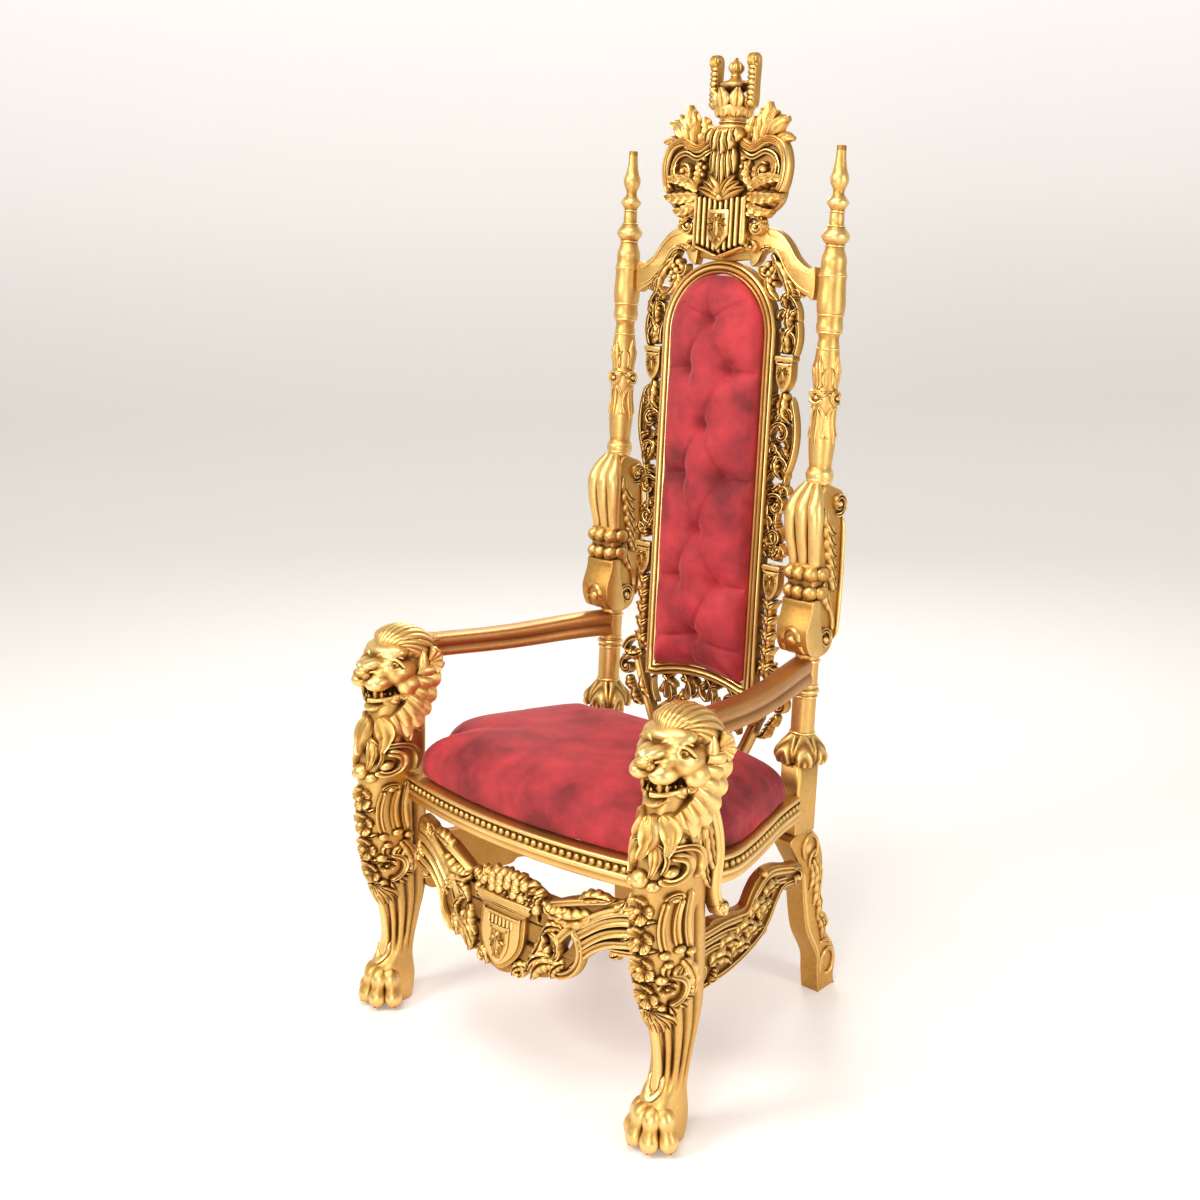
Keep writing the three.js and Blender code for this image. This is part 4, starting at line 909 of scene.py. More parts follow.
# painted shade in the seams between the petals, painted highlight on their arches
post.skin(stack(reach * np.cos(a), reach * np.sin(a), 503 + rise + droop),
          0.55 + 0.42 * arch - 0.5 * seam * fade)
post.add(turned(profile((540, COLUMN), (712, COLUMN)), 540, 716, 8))
for height, radius, thick in ((562, 22.5, 3.2), (634, 23, 2.6), (645, 23.5, 4.6), (656, 23, 2.6),
                              (704, 23, 3.4)):
    post.add(rib(radius, height, thick))
post_piece = Carving().add(post, at_post)
post_piece.piece("post_right", gilt)
post_piece.piece("post_left", gilt, mirrored=True)

# ------------------------------------------------------------------ consoles
# Carved brackets on the columns: a gathered bell of round folds, two rows of balls, a plain swelling
# panel that rolls into a volute, a volute at the back of the top, and an acanthus down each side.

front_of = profile((712, 20), (726, 40), (748, 53), (772, 55), (798, 46), (822, 41), (850, 40), (890, 41),
                   (905, 44), (960, 56), (1000, 57), (1022, 46), (1046, 27))
profile_line = [(-front_of(z), z) for z in (728, 748, 772, 798, 822, 850, 890)]
profile_line += [(-front_of(z) + 13, z) for z in (905, 960, 1000, 1024)]
profile_line += [(-10, 1044), (12, 1040), (38, 1030), (46, 1008), (38, 984), (42, 950), (46, 860),
                 (42, 760), (30, 726), (4, 714), (-20, 716)]
console = Carving()
for side in (-1, 1):
    console.add(plate(profile_line, 0, 30, per=6, ease=3), lambda u, v, w, s=side: (s * w, u, v),
                flip=side < 0)
slab = [(-front_of(z) - 2, z) for z in (722, 735, 748, 760, 772, 785, 798, 812, 826)] + [(-20, 826),
    (-14, 790), (-6, 760), (0, 722)]
for side in (-1, 1):
    console.add(plate(slab, 0, 36, per=4, ease=2.2, tone=0.7), lambda u, v, w, s=side: (s * w, u, v),
                flip=side < 0)
# the gathered bell's three fingers, swelling at the top and narrowing into the first row of balls
s = np.linspace(0, 1, 40)
z = 1044 - 150 * s
for k in (-1, 0, 1):
    thick = profile((0, 7), (0.12, 12), (0.3, 15), (0.6, 13), (1, 11))(s)
    x = k * profile((0, 12), (0.15, 20), (0.35, 26), (1, 22))(s)
    console.add(tube(stack(x, -front_of(z) + thick * 1.15, z), thick * (1.02 if k else 1.1), 22, 0.8))
for k in (-1, 0, 1):
    console.add(lump((k * 23, -38 if k else -42, 876), (14, 17, 15), 0.95))
    console.add(lump((k * 23, -37 if k else -41, 841), (14, 17, 15), 0.95))
for side in (-1, 1):
    console.add(lump((side * 34, -18, 876), (11, 18, 14), 0.9)).add(lump((side * 34, -18, 841),
        (11, 18, 14), 0.9))
    flank = Carving()
    flank.add(stroke(spiral((22, 1008), (22, 5), (-110, 330)), 11, 11, -10, 0.4, 50)).add(ball(22, 1008,
        7, 11, -6))
    flank.add(stroke(spiral((8, 748), (24, 7), (200, -150)), 11, 9, -10, 0.4, 50)).add(ball(8, 748, 8, 9,
        -6))
    flank.add(stroke(spiral((-12, 834), (15, 4), (-60, 260)), 8, 9, -10, 0.35, 36)).add(ball(-12, 834, 4,
        9, -6))
    flank.add(stroke(bow((4, 818), (28, 762), 0.14), 9, 8, -8, 0.3, 24))
    flank.add(stroke(bow((43, 984), (44, 744), 0.02), 8, 6, -8, 0.1, 30))
    for k in range(6):
        flank.add(leaf(bow((-18 + 7 * k, 1000 - 24 * k), (22 + 2 * k, 950 - 22 * k), -0.22), 22, 10, -8,
                       2, 0.25, 0.1, veins=0.3))
    flank.add(leaf(bow((-4, 862), (26, 800), -0.15), 26, 9, -8, 3, 0.3))
    console.add(flank, lambda x, y, w, s=side: (s * (31 + w), x, y), flip=side < 0)
front_strap = Carving().add(stroke(spiral((0, 752), (19, 19), (200, -20), 1.1), 9, 8, -6, 0.25, 30))
front_strap.add(ball(0, 748, 11, 7, -6)).add(stroke(bow((-20, 742), (-22, 722), 0), 8, 7, -8, 0.2, 12))
front_strap.add(stroke(bow((20, 742), (22, 722), 0), 8, 7, -8, 0.2, 12))
console.add(front_strap, lambda x, y, w: (x, -front_of(y) - w - 1, y))
console_piece = Carving().add(console, at_post)
console_piece.piece("console_right", gilt)
console_piece.piece("console_left", gilt, mirrored=True)

# ------------------------------------------------------------------ poles
# Turned finials above the consoles, with carved leaves and a knot of ribbon at half height.

pole_radius = profile((1044, 24), (1070, 24), (1074, 21), (1080, 21.5), (1125, 25), (1182, 22),
                      (1190, 24), (1198, 25.5),
                      (1215, 25.5), (1222, 23), (1262, 25), (1300, 21), (1322, 20.5), (1326, 23),
                      (1355, 24), (1362, 25.5),
                      (1428, 25.5), (1433, 26), (1440, 24), (1462, 23.5), (1476, 19), (1487, 17.5),
                      (1492, 22), (1502, 26.5),
                      (1511, 22), (1518, 16), (1536, 14), (1552, 14), (1557, 18), (1563, 21.5),
                      (1570, 17), (1577, 11),
                      (1586, 11), (1598, 16.5), (1608, 17.5), (1622, 13), (1640, 10), (1664, 8.6))
pole = Carving().add(turned(pole_radius, 1044, 1665, 170, 32))
for height, radius, thick in ((1052, 24, 2.2), (1066, 24, 2.2), (1104, 21.5, 2), (1296, 21, 2.4),
                              (1326, 22.5, 2.4),
                              (1358, 24.5, 2.4), (1430, 25.5, 2.0), (1484, 17.5, 2.2), (1520, 15.5, 1.8),
                              (1546, 13.5, 2)):
    pole.add(rib(radius, height, thick))


def on_pole(x, z, w):
    """Wrapped round the pole, with its front at x = 0."""
    turn, r = x / 24.0, pole_radius(z) + w
    return r * np.sin(turn), -r * np.cos(turn), z


twig = Carving()
for k in range(4):
    c = k * TURN * 24 / 4
    twig.add(leaf(bow((c, 1222), (c, 1284), 0), 22, 5.5, -3, 2, 0.2, veins=0.12))
    for side in (-1, 1):
        twig.add(leaf(bow((c + side * 10, 1226), (c + side * 15, 1262), 0.15 * side), 12, 4.5, -3, 1,
                      0.1))
        twig.add(stroke(bow((c + side * 3, 1190), (c + side * 12, 1128), 0.18 * side), 8, 4, -3, 0.3, 20))
    twig.add(leaf(bow((c, 1188), (c, 1120), 0), 15, 4.5, -3, 1, 0.1, veins=0.1))
    twig.add(stroke(spiral((c, 1206), (12, 11), (0, 350)), 8, 6.5, -3, 0.3, 30)).add(ball(c, 1206, 5, 6,
        -3))
    for side in (-1, 1):
        twig.add(leaf(bow((c + side * 8, 1206), (c + side * 21, 1216), 0.2 * side), 12, 5, -3, 1, 0.1))
pole.add(twig, on_pole)
pole_piece = Carving().add(pole, at_post)
pole_piece.piece("pole_right", gilt)
pole_piece.piece("pole_left", gilt, mirrored=True)

# ------------------------------------------------------------------ arms
# Smooth rails from the lions' manes to the columns, a long groove down each side, the gold rubbed
# brown, with locks of the mane lying over the front end.

arm = Carving()
t = np.linspace(0, 1, 60)[:, None]
arm_x = LEG_X - 6 - 98 * t ** 1.5
arm_y = -196 + 458 * t
arm_top = 744 - 25 * np.sin(np.pi * t / 2) - 6 * np.sin(np.pi * t) ** 2 - 6 * t ** 6
arm_half = 26 - 3 * t
arm_tall = 38 + 8 * t ** 3
section = np.array([(-1, 0.06), (-1, 0.34), (-0.9, 0.42), (-0.86, 0.5), (-0.9, 0.58), (-1, 0.66),
                    (-1, 0.92), (-0.88, 1),
                    (0.88, 1), (1, 0.92), (1, 0.66), (0.9, 0.58), (0.86, 0.5), (0.9, 0.42), (1, 0.34),
                    (1, 0.06), (0.9, -0.04), (0.6, -0.1), (0, -0.12), (-0.6, -0.1), (-0.9, -0.04)])
# painted shade: the tone drops along the groove down each side of the arm
groove_shade = 0.62 - 0.5 * bell(section[:, 1], 0.5, 0.1)
arm.skin(stack(arm_x + section[:, 0] * arm_half, arm_y + SHIFT + 0 * section[:, 0],
               arm_top - 5 - section[:, 1] * arm_tall),
         groove_shade[None, :])
for k in range(9):
    u = k / 8 - 0.5
    s = np.linspace(0, 1, 16)
    arm.add(tube(stack(LEG_X - 4 + 44 * u - 6 * s + 4 * np.sin(5 * s + k),
                       -192 + (78 - 50 * abs(u)) * s + SHIFT,
                       742 - 6 * s - 4 * s ** 2 - 9 * abs(u) ** 2), 5.5 * ends_down(s, 0.1, 0.5) + 0.6, 8,
                 0.7))
arm.piece("arm_right", gilt_brown, slot="gilt_brown")
arm.piece("arm_left", gilt_brown, mirrored=True, slot="gilt_brown")

# ------------------------------------------------------------------ seat rails
# Moulded rails between the legs, bowed in plan, with a row of beads in a channel. The back rail
# is plain.


def rail_top(y):
    """Height of the seat rails, which fall in a straight line from front to back."""
    return SEAT_FRONT - SEAT_FALL * (y + 285) / 495


def sweep(path, section, tone=0.6):
    """A moulding along path (x, y, out_x, out_y for each row): section holds out from the path and
    down from the rail's top."""
    x, y, ox, oy = (path[:, k:k + 1] for k in range(4))
    a, b = section[:, 0][None, :], section[:, 1][None, :]
    px, py = x + a * ox, y + a * oy
    return Carving().skin(stack(px, py + SHIFT, rail_top(py) + b), tone)


face = np.array([(-34, 0), (-6, 0), (-2, -0.6), (0, -3), (-0.6, -7), (-3.5, -9), (-5.5, -11), (-6, -15),
                 (-6, -20),
                 (-5.5, -24), (-3, -26), (0, -28), (0.6, -31), (-0.6, -35), (-3.4, -38), (-4.2, -42),
                 (-3.6, -47), (-5, -51), (-8, -52), (-34, -52)], float)
# painted shade and highlight across the rail's moulding: low in the channel, high on the ridges
face_tone = np.array([0.5, 0.65, 0.8, 0.95, 0.7, 0.5, 0.34, 0.28, 0.28, 0.34, 0.5, 0.85, 0.95, 0.7, 0.35,
                      0.55, 0.75, 0.6, 0.4, 0.3])[None, :]


def beaded(path, pitch=16.5):
    """The rail with beads in its channel, one pitch apart along the path."""
    rail = sweep(path, face, face_tone)
    length = np.concatenate([[0], np.cumsum(np.hypot(*np.diff(path[:, :2], axis=0).T))])
    stops = np.arange(pitch, length[-1] - pitch * 0.6, pitch)
    for x, y, ox, oy in zip(*(np.interp(stops, length, path[:, k]) for k in range(4))):
        rail.add(lump((x - 4.2 * ox, y - 4.2 * oy + SHIFT, rail_top(y) - 17.5), (6.6, 6.6, 6.4), 1.0, 14,
                      9))
    return rail


def with_normals(x, y, outward):
    """The path and its unit normals in plan, on the side of outward."""
    way = np.stack([np.gradient(y), -np.gradient(x)], 1)
    way /= np.linalg.norm(way, axis=1, keepdims=True)
    way *= np.sign(way @ np.array(outward, float))[:, None]
    return np.column_stack([x, y, way])


x = np.linspace(-322, 322, 60)
front_path = with_normals(x, -286 + 42 * (x / 327) ** 2, (0, -1))
beaded(front_path).piece("front_rail", gilt)
side_bow = profile((-200, 352), (-150, 369), (-90, 379), (-20, 364), (60, 338), (130, 314), (215, 292))
y = np.linspace(-178, 217, 50)
side_path = with_normals(side_bow(y), y, (1, 0))
side_rail = beaded(side_path)
side_rail.piece("side_rail_right", gilt)
side_rail.piece("side_rail_left", gilt, mirrored=True)
back_rail = Carving().add(block(224, 15, 399, 449), lambda x, y, z: (x, y + 199.4, z))
back_rail.piece("back_rail", gilt)

# ------------------------------------------------------------------ rear legs
# Sawn from a board: the front and back are plain, the outer side is carved with a loop at the top,
# hanging leaves, a small curl and a volute above a square foot.


shin_outline = [(203, 357), (240, 366), (276, 358), (300, 322), (309, 276), (303, 200), (306, 178),
                (320, 166), (329, 147),
                (322, 126), (345, 92), (356, 55), (349, 22), (351, 2), (349, 0), (299, 0), (297, 2),
                (293, 40), (293, 71), (284, 96), (257, 148), (246, 214), (240, 284), (217, 326)]
shin = plate(shin_outline, -20, 22, per=4)
shin.add(stroke(through((306, 276), (302, 240), (296, 204), (300, 174), (316, 156)), 7, 26, 18, 0.2, 40))
shin.add(stroke(through((247, 284), (253, 214), (264, 152), (290, 100), (300, 70), (304, 36)), 7, 25, 18,
                0.2, 50))
shin.add(stroke(spiral((262, 326), (27, 20), (-60, 250), 1.15), 9, 28, 18, 0.3, 40)).add(ball(262, 326,
    14, 24, 18))
shin.add(stroke(bow((290, 318), (262, 282), -0.3), 8, 28, 18, 0.3, 20))
for a, b, wide in (((276, 300), (284, 238), 24), ((282, 262), (276, 200), 20),
                   ((268, 292), (262, 236), 14),
                   ((290, 222), (288, 172), 18), ((288, 176), (304, 118), 18)):
    shin.add(leaf(bow(a, b, 0.12), wide, 31, 18, 3, 0.3))
shin.add(stroke(spiral((311, 148), (14, 4), (-110, 240)), 9, 28, 18, 0.3, 30)).add(ball(311, 148, 5, 28,
    18))
shin.add(stroke(spiral((322, 62), (24, 19), (-110, 200), 1.2), 9, 28, 18, 0.3, 40))
shin.add(stroke(bow((298, 108), (334, 96), 0.2), 8, 28, 18, 0.3, 20))
rear = Carving().add(shin, lambda u, v, w: (POST_X + w, u + SHIFT, v))
rear.piece("rear_leg_right", gilt)
rear.piece("rear_leg_left", gilt, mirrored=True)

# ------------------------------------------------------------------ front stretcher
# A pierced apron between the front legs that bows and leans forward: a shield under a cornice and a
# heap of fruit in the middle, a fluted strap scroll and curling acanthus on each side.


def shield_plate(x, y, half, top, point, low, high, tone=0.6):
    """A heater shield: straight shoulders, sides that curve to the point."""
    outline = [(x - half, y + top), (x - half * 0.96, y + top), (x, y + top), (x + half * 0.96, y + top),
               (x + half, y + top), (x + half, y + top - 1), (x + half, y + (top * 0.5 + point * 0.5)),
               (x + half * 0.62, y + point * 0.82 + top * 0.18),
               (x, y + point), (x - half * 0.62, y + point * 0.82 + top * 0.18),
               (x - half, y + (top * 0.5 + point * 0.5)),
               (x - half, y + top - 1)]
    return plate(outline, low, high, ease=2.2, tone=tone)


def bird(x, y, size, low, high):
    """A small heraldic bird with spread wings: a body, a head, feathered wings, a fan tail and legs."""
    made = Carving().add(leaf(bow((x, y + 0.42 * size), (x, y - 0.4 * size)), 0.34 * size, high, low, 1,
                              0.0))
    made.add(ball(x, y + 0.52 * size, 0.12 * size, high, low, 10, 5))
    made.add(leaf(bow((x + 0.04 * size, y + 0.54 * size), (x + 0.26 * size, y + 0.5 * size)), 0.1 * size,
                  high, low, 1, 0, steps=8, across=7))
    for side in (-1, 1):
        for k in range(4):
            a = math.radians(62 - 34 * k)
            tip = (x + side * 0.52 * size * math.cos(a), y + 0.16 * size + 0.5 * size * math.sin(a))
            made.add(leaf(bow((x + side * 0.08 * size, y + 0.16 * size), tip, 0.12 * side), 0.17 * size,
                          high, low, 1, 0.1, steps=12, across=7))
        made.add(leaf(bow((x, y - 0.25 * size), (x + side * 0.22 * size, y - 0.58 * size), 0.1),
                      0.17 * size, high, low, 2, 0.2, steps=12, across=7))
    return made


half = [(0, 378), (40, 376), (74, 366), (90, 355), (86, 348), (98, 352), (120, 364), (140, 372),
        (180, 385), (235, 389),
        (255, 397), (303, 392), (303, 306), (277, 306), (258, 298), (235, 305), (205, 293), (172, 270),
        (150, 246), (115, 222), (81, 214), (62, 216), (27, 203), (0, 198)]
outline = half + [(-x, y) for x, y in half[-2:0:-1]]
holes = [(76, 250, 14, 26, -20), (104, 290, 13, 30, 25), (150, 292, 14, 42, -30), (82, 322, 9, 18, 0)]
holes += [(-x, y, wide, tall, -tilt) for x, y, wide, tall, tilt in holes]
board = plate(outline, -14, 6, holes, tone=0.25, rim=0.5)
side = Carving()
bands = (((302, 382), (262, 380), (222, 366), (184, 342), (150, 318), (124, 286)),
         ((302, 364), (262, 362), (222, 348), (188, 326), (158, 302)),
         ((302, 346), (262, 342), (226, 330), (196, 310), (170, 286)),
         ((302, 328), (266, 322), (232, 314), (204, 298), (180, 276)),
         ((302, 312), (268, 308), (240, 306)))
for band, wide in zip(bands, (21, 19, 18, 16, 12)):
    side.add(stroke(through(*band), wide, 16, -2, 0.35, 40))
side.add(stroke(through((236, 392), (196, 382), (160, 372), (128, 362), (100, 352)), 14, 14, -2, 0.3, 30))
side.add(stroke(spiral((136, 286), (52, 44), (-95, 62)), 17, 18, -2, 0.4, 44))
side.add(stroke(spiral((112, 274), (34, 6), (110, -220)), 13, 17, -2, 0.35, 44)).add(ball(112, 274, 8, 18,
    0))
for a, b, wide, high, bend in (((196, 356), (112, 344), 40, 21, 0.12),
                               ((150, 352), (94, 356), 30, 22, 0.2),
                               ((168, 376), (232, 392), 26, 17, 0.1),
                               ((132, 250), (84, 212), 36, 20, -0.25),
                               ((120, 262), (74, 228), 26, 22, -0.2),
                               ((96, 296), (70, 246), 26, 20, 0.15),
                               ((140, 318), (100, 300), 26, 20, -0.25),
                               ((150, 258), (128, 226), 26, 18, -0.2),
                               ((236, 376), (262, 398), 26, 16, -0.2),
                               ((288, 360), (262, 330), 20, 17, 0.2),
                               ((262, 306), (240, 300), 16, 16, 0.2),
                               ((120, 300), (128, 262), 18, 19, 0.3),
                               ((66, 226), (34, 202), 22, 16, -0.25),
                               ((74, 342), (92, 366), 20, 18, 0.2)):
    side.add(leaf(bow(a, b, bend), wide, high, -2, 4, 0.32, 0.1))
side.add(stroke(spiral((48, 214), (16, 5), (160, -160)), 9, 15, -2, 0.3, 30))
side.add(ball(284, 322, 9, 16, -2)).add(stroke(spiral((284, 322), (18, 10), (170, -60)), 9, 15, -2, 0.3,
                                               30))
centre = Carving().add(plate([(-66, 326), (0, 326), (66, 326), (67, 333), (66, 340), (0, 340), (-66, 340),
                              (-67, 333)], -2, 20, tone=0.7))
centre.add(plate([(-60, 320), (0, 320), (60, 320), (60, 327), (0, 327), (-60, 327)], -2, 16, tone=0.6))
for size, low, high in ((56, -2, 14), (47, 10, 18), (38, 14, 16)):
    centre.add(shield_plate(0, 262, size, 58 * size / 56 - 2, -54 * size / 56, low, high,
                            0.75 if size == 47 else 0.4))
for k in range(-3, 4):
    centre.add(stroke(bow((k * 10, 306), (k * 10, 300 - 12)), 7, 21, 12, 0.0, 12))
centre.add(shield_plate(0, 254, 25, 34, -34, 10, 21, 0.8)).add(shield_plate(0, 254, 20, 29, -27, 12, 22,
    0.3))
centre.add(bird(0, 254, 40, 18, 27))
for row, (count, spread, z0, size) in enumerate(((9, 76, 348, 12), (7, 62, 360, 12), (5, 42, 371, 11),
                                                 (2, 14, 380, 9))):
    for x in np.linspace(-spread, spread, count):
        z1 = z0 - 12 * (x / 76) ** 2
        if (row + int(round(x))) % 3:
            centre.add(ball(x, z1, size, 17 - row, -2, 14, 6))
        else:
            centre.add(blossom(x, z1, size + 1, 19 - row, -2, 5))
for k in range(7):
    a = math.radians(14 + 25.3 * k)
    near, far = (62 * math.cos(a), 350 + 16 * math.sin(a)), (92 * math.cos(a), 352 + 38 * math.sin(a))
    centre.add(leaf(bow(near, far, 0.1), 26, 12, -4, 2, 0.2, steps=16, across=9))
stretcher = Carving().add(board).add(side.mirror()).add(centre)


def on_stretcher(x, z, w):
    """The apron's plane, bowed back towards the legs and leaning out at the foot."""
    return x, -w - 280 - 0.18 * (337 - z) + 36 * (x / 290) ** 2 + SHIFT, z


stretcher = Carving().add(stretcher, on_stretcher)
stretcher.piece("front_stretcher", gilt)

# ------------------------------------------------------------------ side stretchers
# Serpentine pierced boards from the front legs up to the rear legs: a large C scroll at the front,
# leaves that climb along the board, and a small curl against the rear leg.

outline = [(-205, 318), (-160, 328), (-115, 325), (-100, 330), (-66, 322), (-40, 322), (-20, 314),
           (10, 310), (24, 322), (34, 332),
           (56, 346), (90, 352), (130, 344), (170, 328), (222, 310), (222, 270), (172, 274), (150, 286),
           (128, 286), (108, 262),
           (92, 240), (86, 226), (60, 222), (46, 214), (20, 218), (4, 210), (-40, 212), (-82, 206),
           (-112, 210), (-132, 214), (-170, 214), (-205, 232)]
holes = [(-94, 244, 16, 8, 0), (-14, 256, 14, 7, 20), (40, 276, 12, 7, 40), (104, 292, 12, 7, 0)]
board = plate(outline, -14, 6, holes, tone=0.25, rim=0.5)
rinceau = Carving()
for band, wide in ((((-204, 308), (-160, 317), (-115, 314), (-66, 309), (-20, 300), (14, 296), (44, 322),
                     (90, 340), (140, 330), (220, 300)), 16),
                   (((-204, 292), (-160, 300), (-112, 298), (-66, 292), (-26, 282), (6, 272)), 15),
                   (((-196, 276), (-160, 284), (-112, 282), (-76, 274), (-40, 262)), 14),
                   (((-196, 226), (-150, 222), (-110, 219), (-60, 216), (0, 220), (56, 232), (90, 252),
                     (118, 280), (150, 296), (220, 280)), 12),
                   (((60, 300), (90, 318), (130, 312), (160, 304)), 14)):
    rinceau.add(stroke(through(*band), wide, 15, -2, 0.4, 50))
rinceau.add(stroke(spiral((-150, 254), (30, 7), (70, 400)), 15, 17, -2, 0.4, 44)).add(ball(-150, 254, 8,
    17, 0))
rinceau.add(stroke(spiral((196, 294), (18, 6), (120, -230)), 9, 17, -2, 0.3, 36)).add(ball(196, 294, 7,
    18, 0)).add(ball(74, 350, 9, 16, -4))
for a, b, wide, bend in (((-122, 254), (-52, 228), 36, 0.2), ((-88, 268), (-22, 250), 34, 0.22),
                         ((-50, 240), (16, 230), 34, 0.2),
                         ((-34, 270), (30, 262), 32, 0.22), ((4, 246), (62, 250), 30, 0.22),
                         ((16, 284), (72, 296), 32, 0.2),
                         ((48, 268), (96, 286), 30, 0.22), ((72, 306), (124, 310), 28, 0.2),
                         ((-100, 240), (-130, 226), 22, 0.2)):
    rinceau.add(leaf(bow(a, b, bend), wide, 20, -2, 3, 0.3, 0.1, veins=0.3))
panel = Carving().add(board).add(rinceau)
panel = Carving().add(panel, lambda u, v, w: (344 - 58 * (u + 205) / 427 + w, u + SHIFT, v))
panel.piece("side_stretcher_right", gilt)
panel.piece("side_stretcher_left", gilt, mirrored=True)

# ------------------------------------------------------------------ back frame
# A reeded moulding round the panel, arched over the top and under the foot; pierced fretwork of
# scrolls, leaves, small shields and laurel on both sides; a pierced apron with scroll ears below.

panel_foot = lambda x: 645 - 20 * (x / PANEL_HALF) ** 2
turns = np.radians(np.linspace(0, 180, 49))
stations = [(PANEL_HALF * math.cos(a), ARCH_Z + PANEL_HALF * math.sin(a), math.cos(a), math.sin(a))
            for a in turns]
stations += [(-PANEL_HALF, z, -1, 0) for z in np.linspace(1290, 660, 12)]
stations += [(-PANEL_HALF, panel_foot(PANEL_HALF), -1, -1)]
stations += [(x, panel_foot(x), 0, -1) for x in np.linspace(-110, 110, 23)]
stations += [(PANEL_HALF, panel_foot(PANEL_HALF), 1, -1)]
stations += [(PANEL_HALF, z, 1, 0) for z in np.linspace(660, 1290, 12)]
stations = np.array(stations)
reeds = np.array([(0, -2), (0, 8), (1, 12), (3, 15), (5, 16), (7.5, 13), (8.5, 11.5), (10, 14),
                  (12.5, 18), (15, 18.5), (17.5, 15),
                  (18.5, 12), (20, 14), (22.5, 16.5), (25, 15), (MOULDING, 9), (MOULDING, -9)])
# painted shade in the grooves between the reeds, painted highlight on their crowns
reed_tone = np.array([0.2, 0.5, 0.8, 1, 1, 0.35, 0.1, 0.6, 1, 1, 0.4, 0.1, 0.7, 1, 0.8, 0.4, 0.1])[None,
    :]
rings = stack(stations[:, 0:1] + reeds[:, 0] * stations[:, 2:3],
              stations[:, 1:2] + reeds[:, 0] * stations[:, 3:4], reeds[:, 1])
frame_carving = Carving().skin(rings, reed_tone, hoop=True)

IN = PANEL_HALF + MOULDING
fret = Carving()
vine = dict(flute=0.35, steps=26)
for at, radius, turn, wide in (
    ((IN + 24, 1128), (25, 7), (200, -150), 10), ((IN + 24, 1066), (20, 6), (-20, 330), 9),
                               ((IN + 22, 990), (24, 7), (160, -190), 10),
    ((IN + 20, 930), (20, 6), (-160, 170), 9), ((IN + 26, 1306), (19, 6), (-40, 300), 9),
                               ((IN + 16, 1352), (16, 5), (220, -90), 8),
):
    fret.add(stroke(spiral(at, radius, turn), wide, 16, -8, **vine)).add(ball(at[0], at[1], 5.5, 15, -8,
        12, 5))
for a, b, bend, wide in (((IN + 40, 1200), (IN + 34, 1040), 0.12, 9),
                         ((IN + 8, 1100), (IN + 36, 1028), 0.2, 8),
                         ((IN + 42, 1040), (IN + 36, 880), -0.1, 9),
                         ((IN + 6, 1010), (IN + 30, 900), -0.12, 8),
                         ((IN + 2, 1180), (IN + 14, 1090), -0.15, 8),
                         ((IN + 44, 1345), (IN + 40, 1275), 0.1, 10),
                         ((IN - 2, 960), (IN + 10, 884), -0.15, 8),
                         ((IN + 4, 1330), (IN + 10, 1280), 0.1, 8),
                         ((IN + 8, 1396), (IN + 46, 1340), 0.2, 9)):
    fret.add(stroke(bow(a, b, bend), wide, 13, -8, **vine))
for a, b, wide, bend in (((IN + 24, 1208), (IN + 24, 1150), 30, 0),
                         ((IN + 24, 1192), (IN + 44, 1150), 22, -0.2),
                         ((IN + 22, 1190), (IN + 6, 1150), 20, 0.2),
                         ((IN + 28, 1100), (IN + 44, 1082), 18, 0.2),
                         ((IN + 18, 1086), (IN + 32, 1042), 20, -0.2),
                         ((IN + 30, 1034), (IN + 10, 1020), 18, 0.2),
                         ((IN + 24, 962), (IN + 42, 940), 18, -0.2),
                         ((IN + 22, 905), (IN + 6, 930), 18, 0.2),
                         ((IN + 22, 886), (IN + 40, 918), 20, -0.2),
                         ((IN + 24, 884), (IN + 24, 908), 20, 0),
                         ((IN + 24, 1280), (IN + 8, 1322), 20, -0.2),
                         ((IN + 24, 1282), (IN + 40, 1336), 22, 0.15),
                         ((IN + 26, 1320), (IN + 26, 1372), 22, 0.05),
                         ((IN + 30, 1330), (IN + 48, 1366), 18, 0.2),
                         ((IN + 10, 1368), (IN + 26, 1398), 18, 0.2),
                         ((IN + 14, 1144), (IN + 30, 1128), 18, 0.2),
                         ((IN + 30, 1004), (IN + 16, 984), 16, 0.2),
                         ((IN + 2, 1388), (IN + 18, 1362), 16, 0.2)):
    fret.add(leaf(bow(a, b, bend), wide, 17, -8, 3, 0.32, 0.1))
for k, z0 in enumerate(np.arange(886, 1196, 29)):
    fret.add(leaf(bow((IN - 4, z0), (IN + 19 + 5 * (k % 2), z0 + 26), 0.25), 17, 14, -8, 2, 0.3, steps=9,
                  across=7))
    if k % 2:
        fret.add(leaf(bow((IN + 40, z0 + 8), (IN + 24, z0 + 34), -0.25), 16, 14, -8, 2, 0.3, steps=9,
                      across=7))
for at, radius, turn in (((IN + 36, 1166), (14, 4), (-60, 260)), ((IN + 10, 1096), (12, 4), (240, -90)),
                         ((IN + 38, 1018), (12, 4), (-40, 280)),
                         ((IN + 8, 956), (12, 4), (200, -120)), ((IN + 36, 900), (13, 4), (-30, 290)),
                         ((IN + 38, 1392), (10, 4), (-30, 290))):
    fret.add(stroke(spiral(at, radius, turn), 8, 15, -8, 0.35, 15)).add(ball(at[0], at[1], 4, 14, -8, 8,
        4))
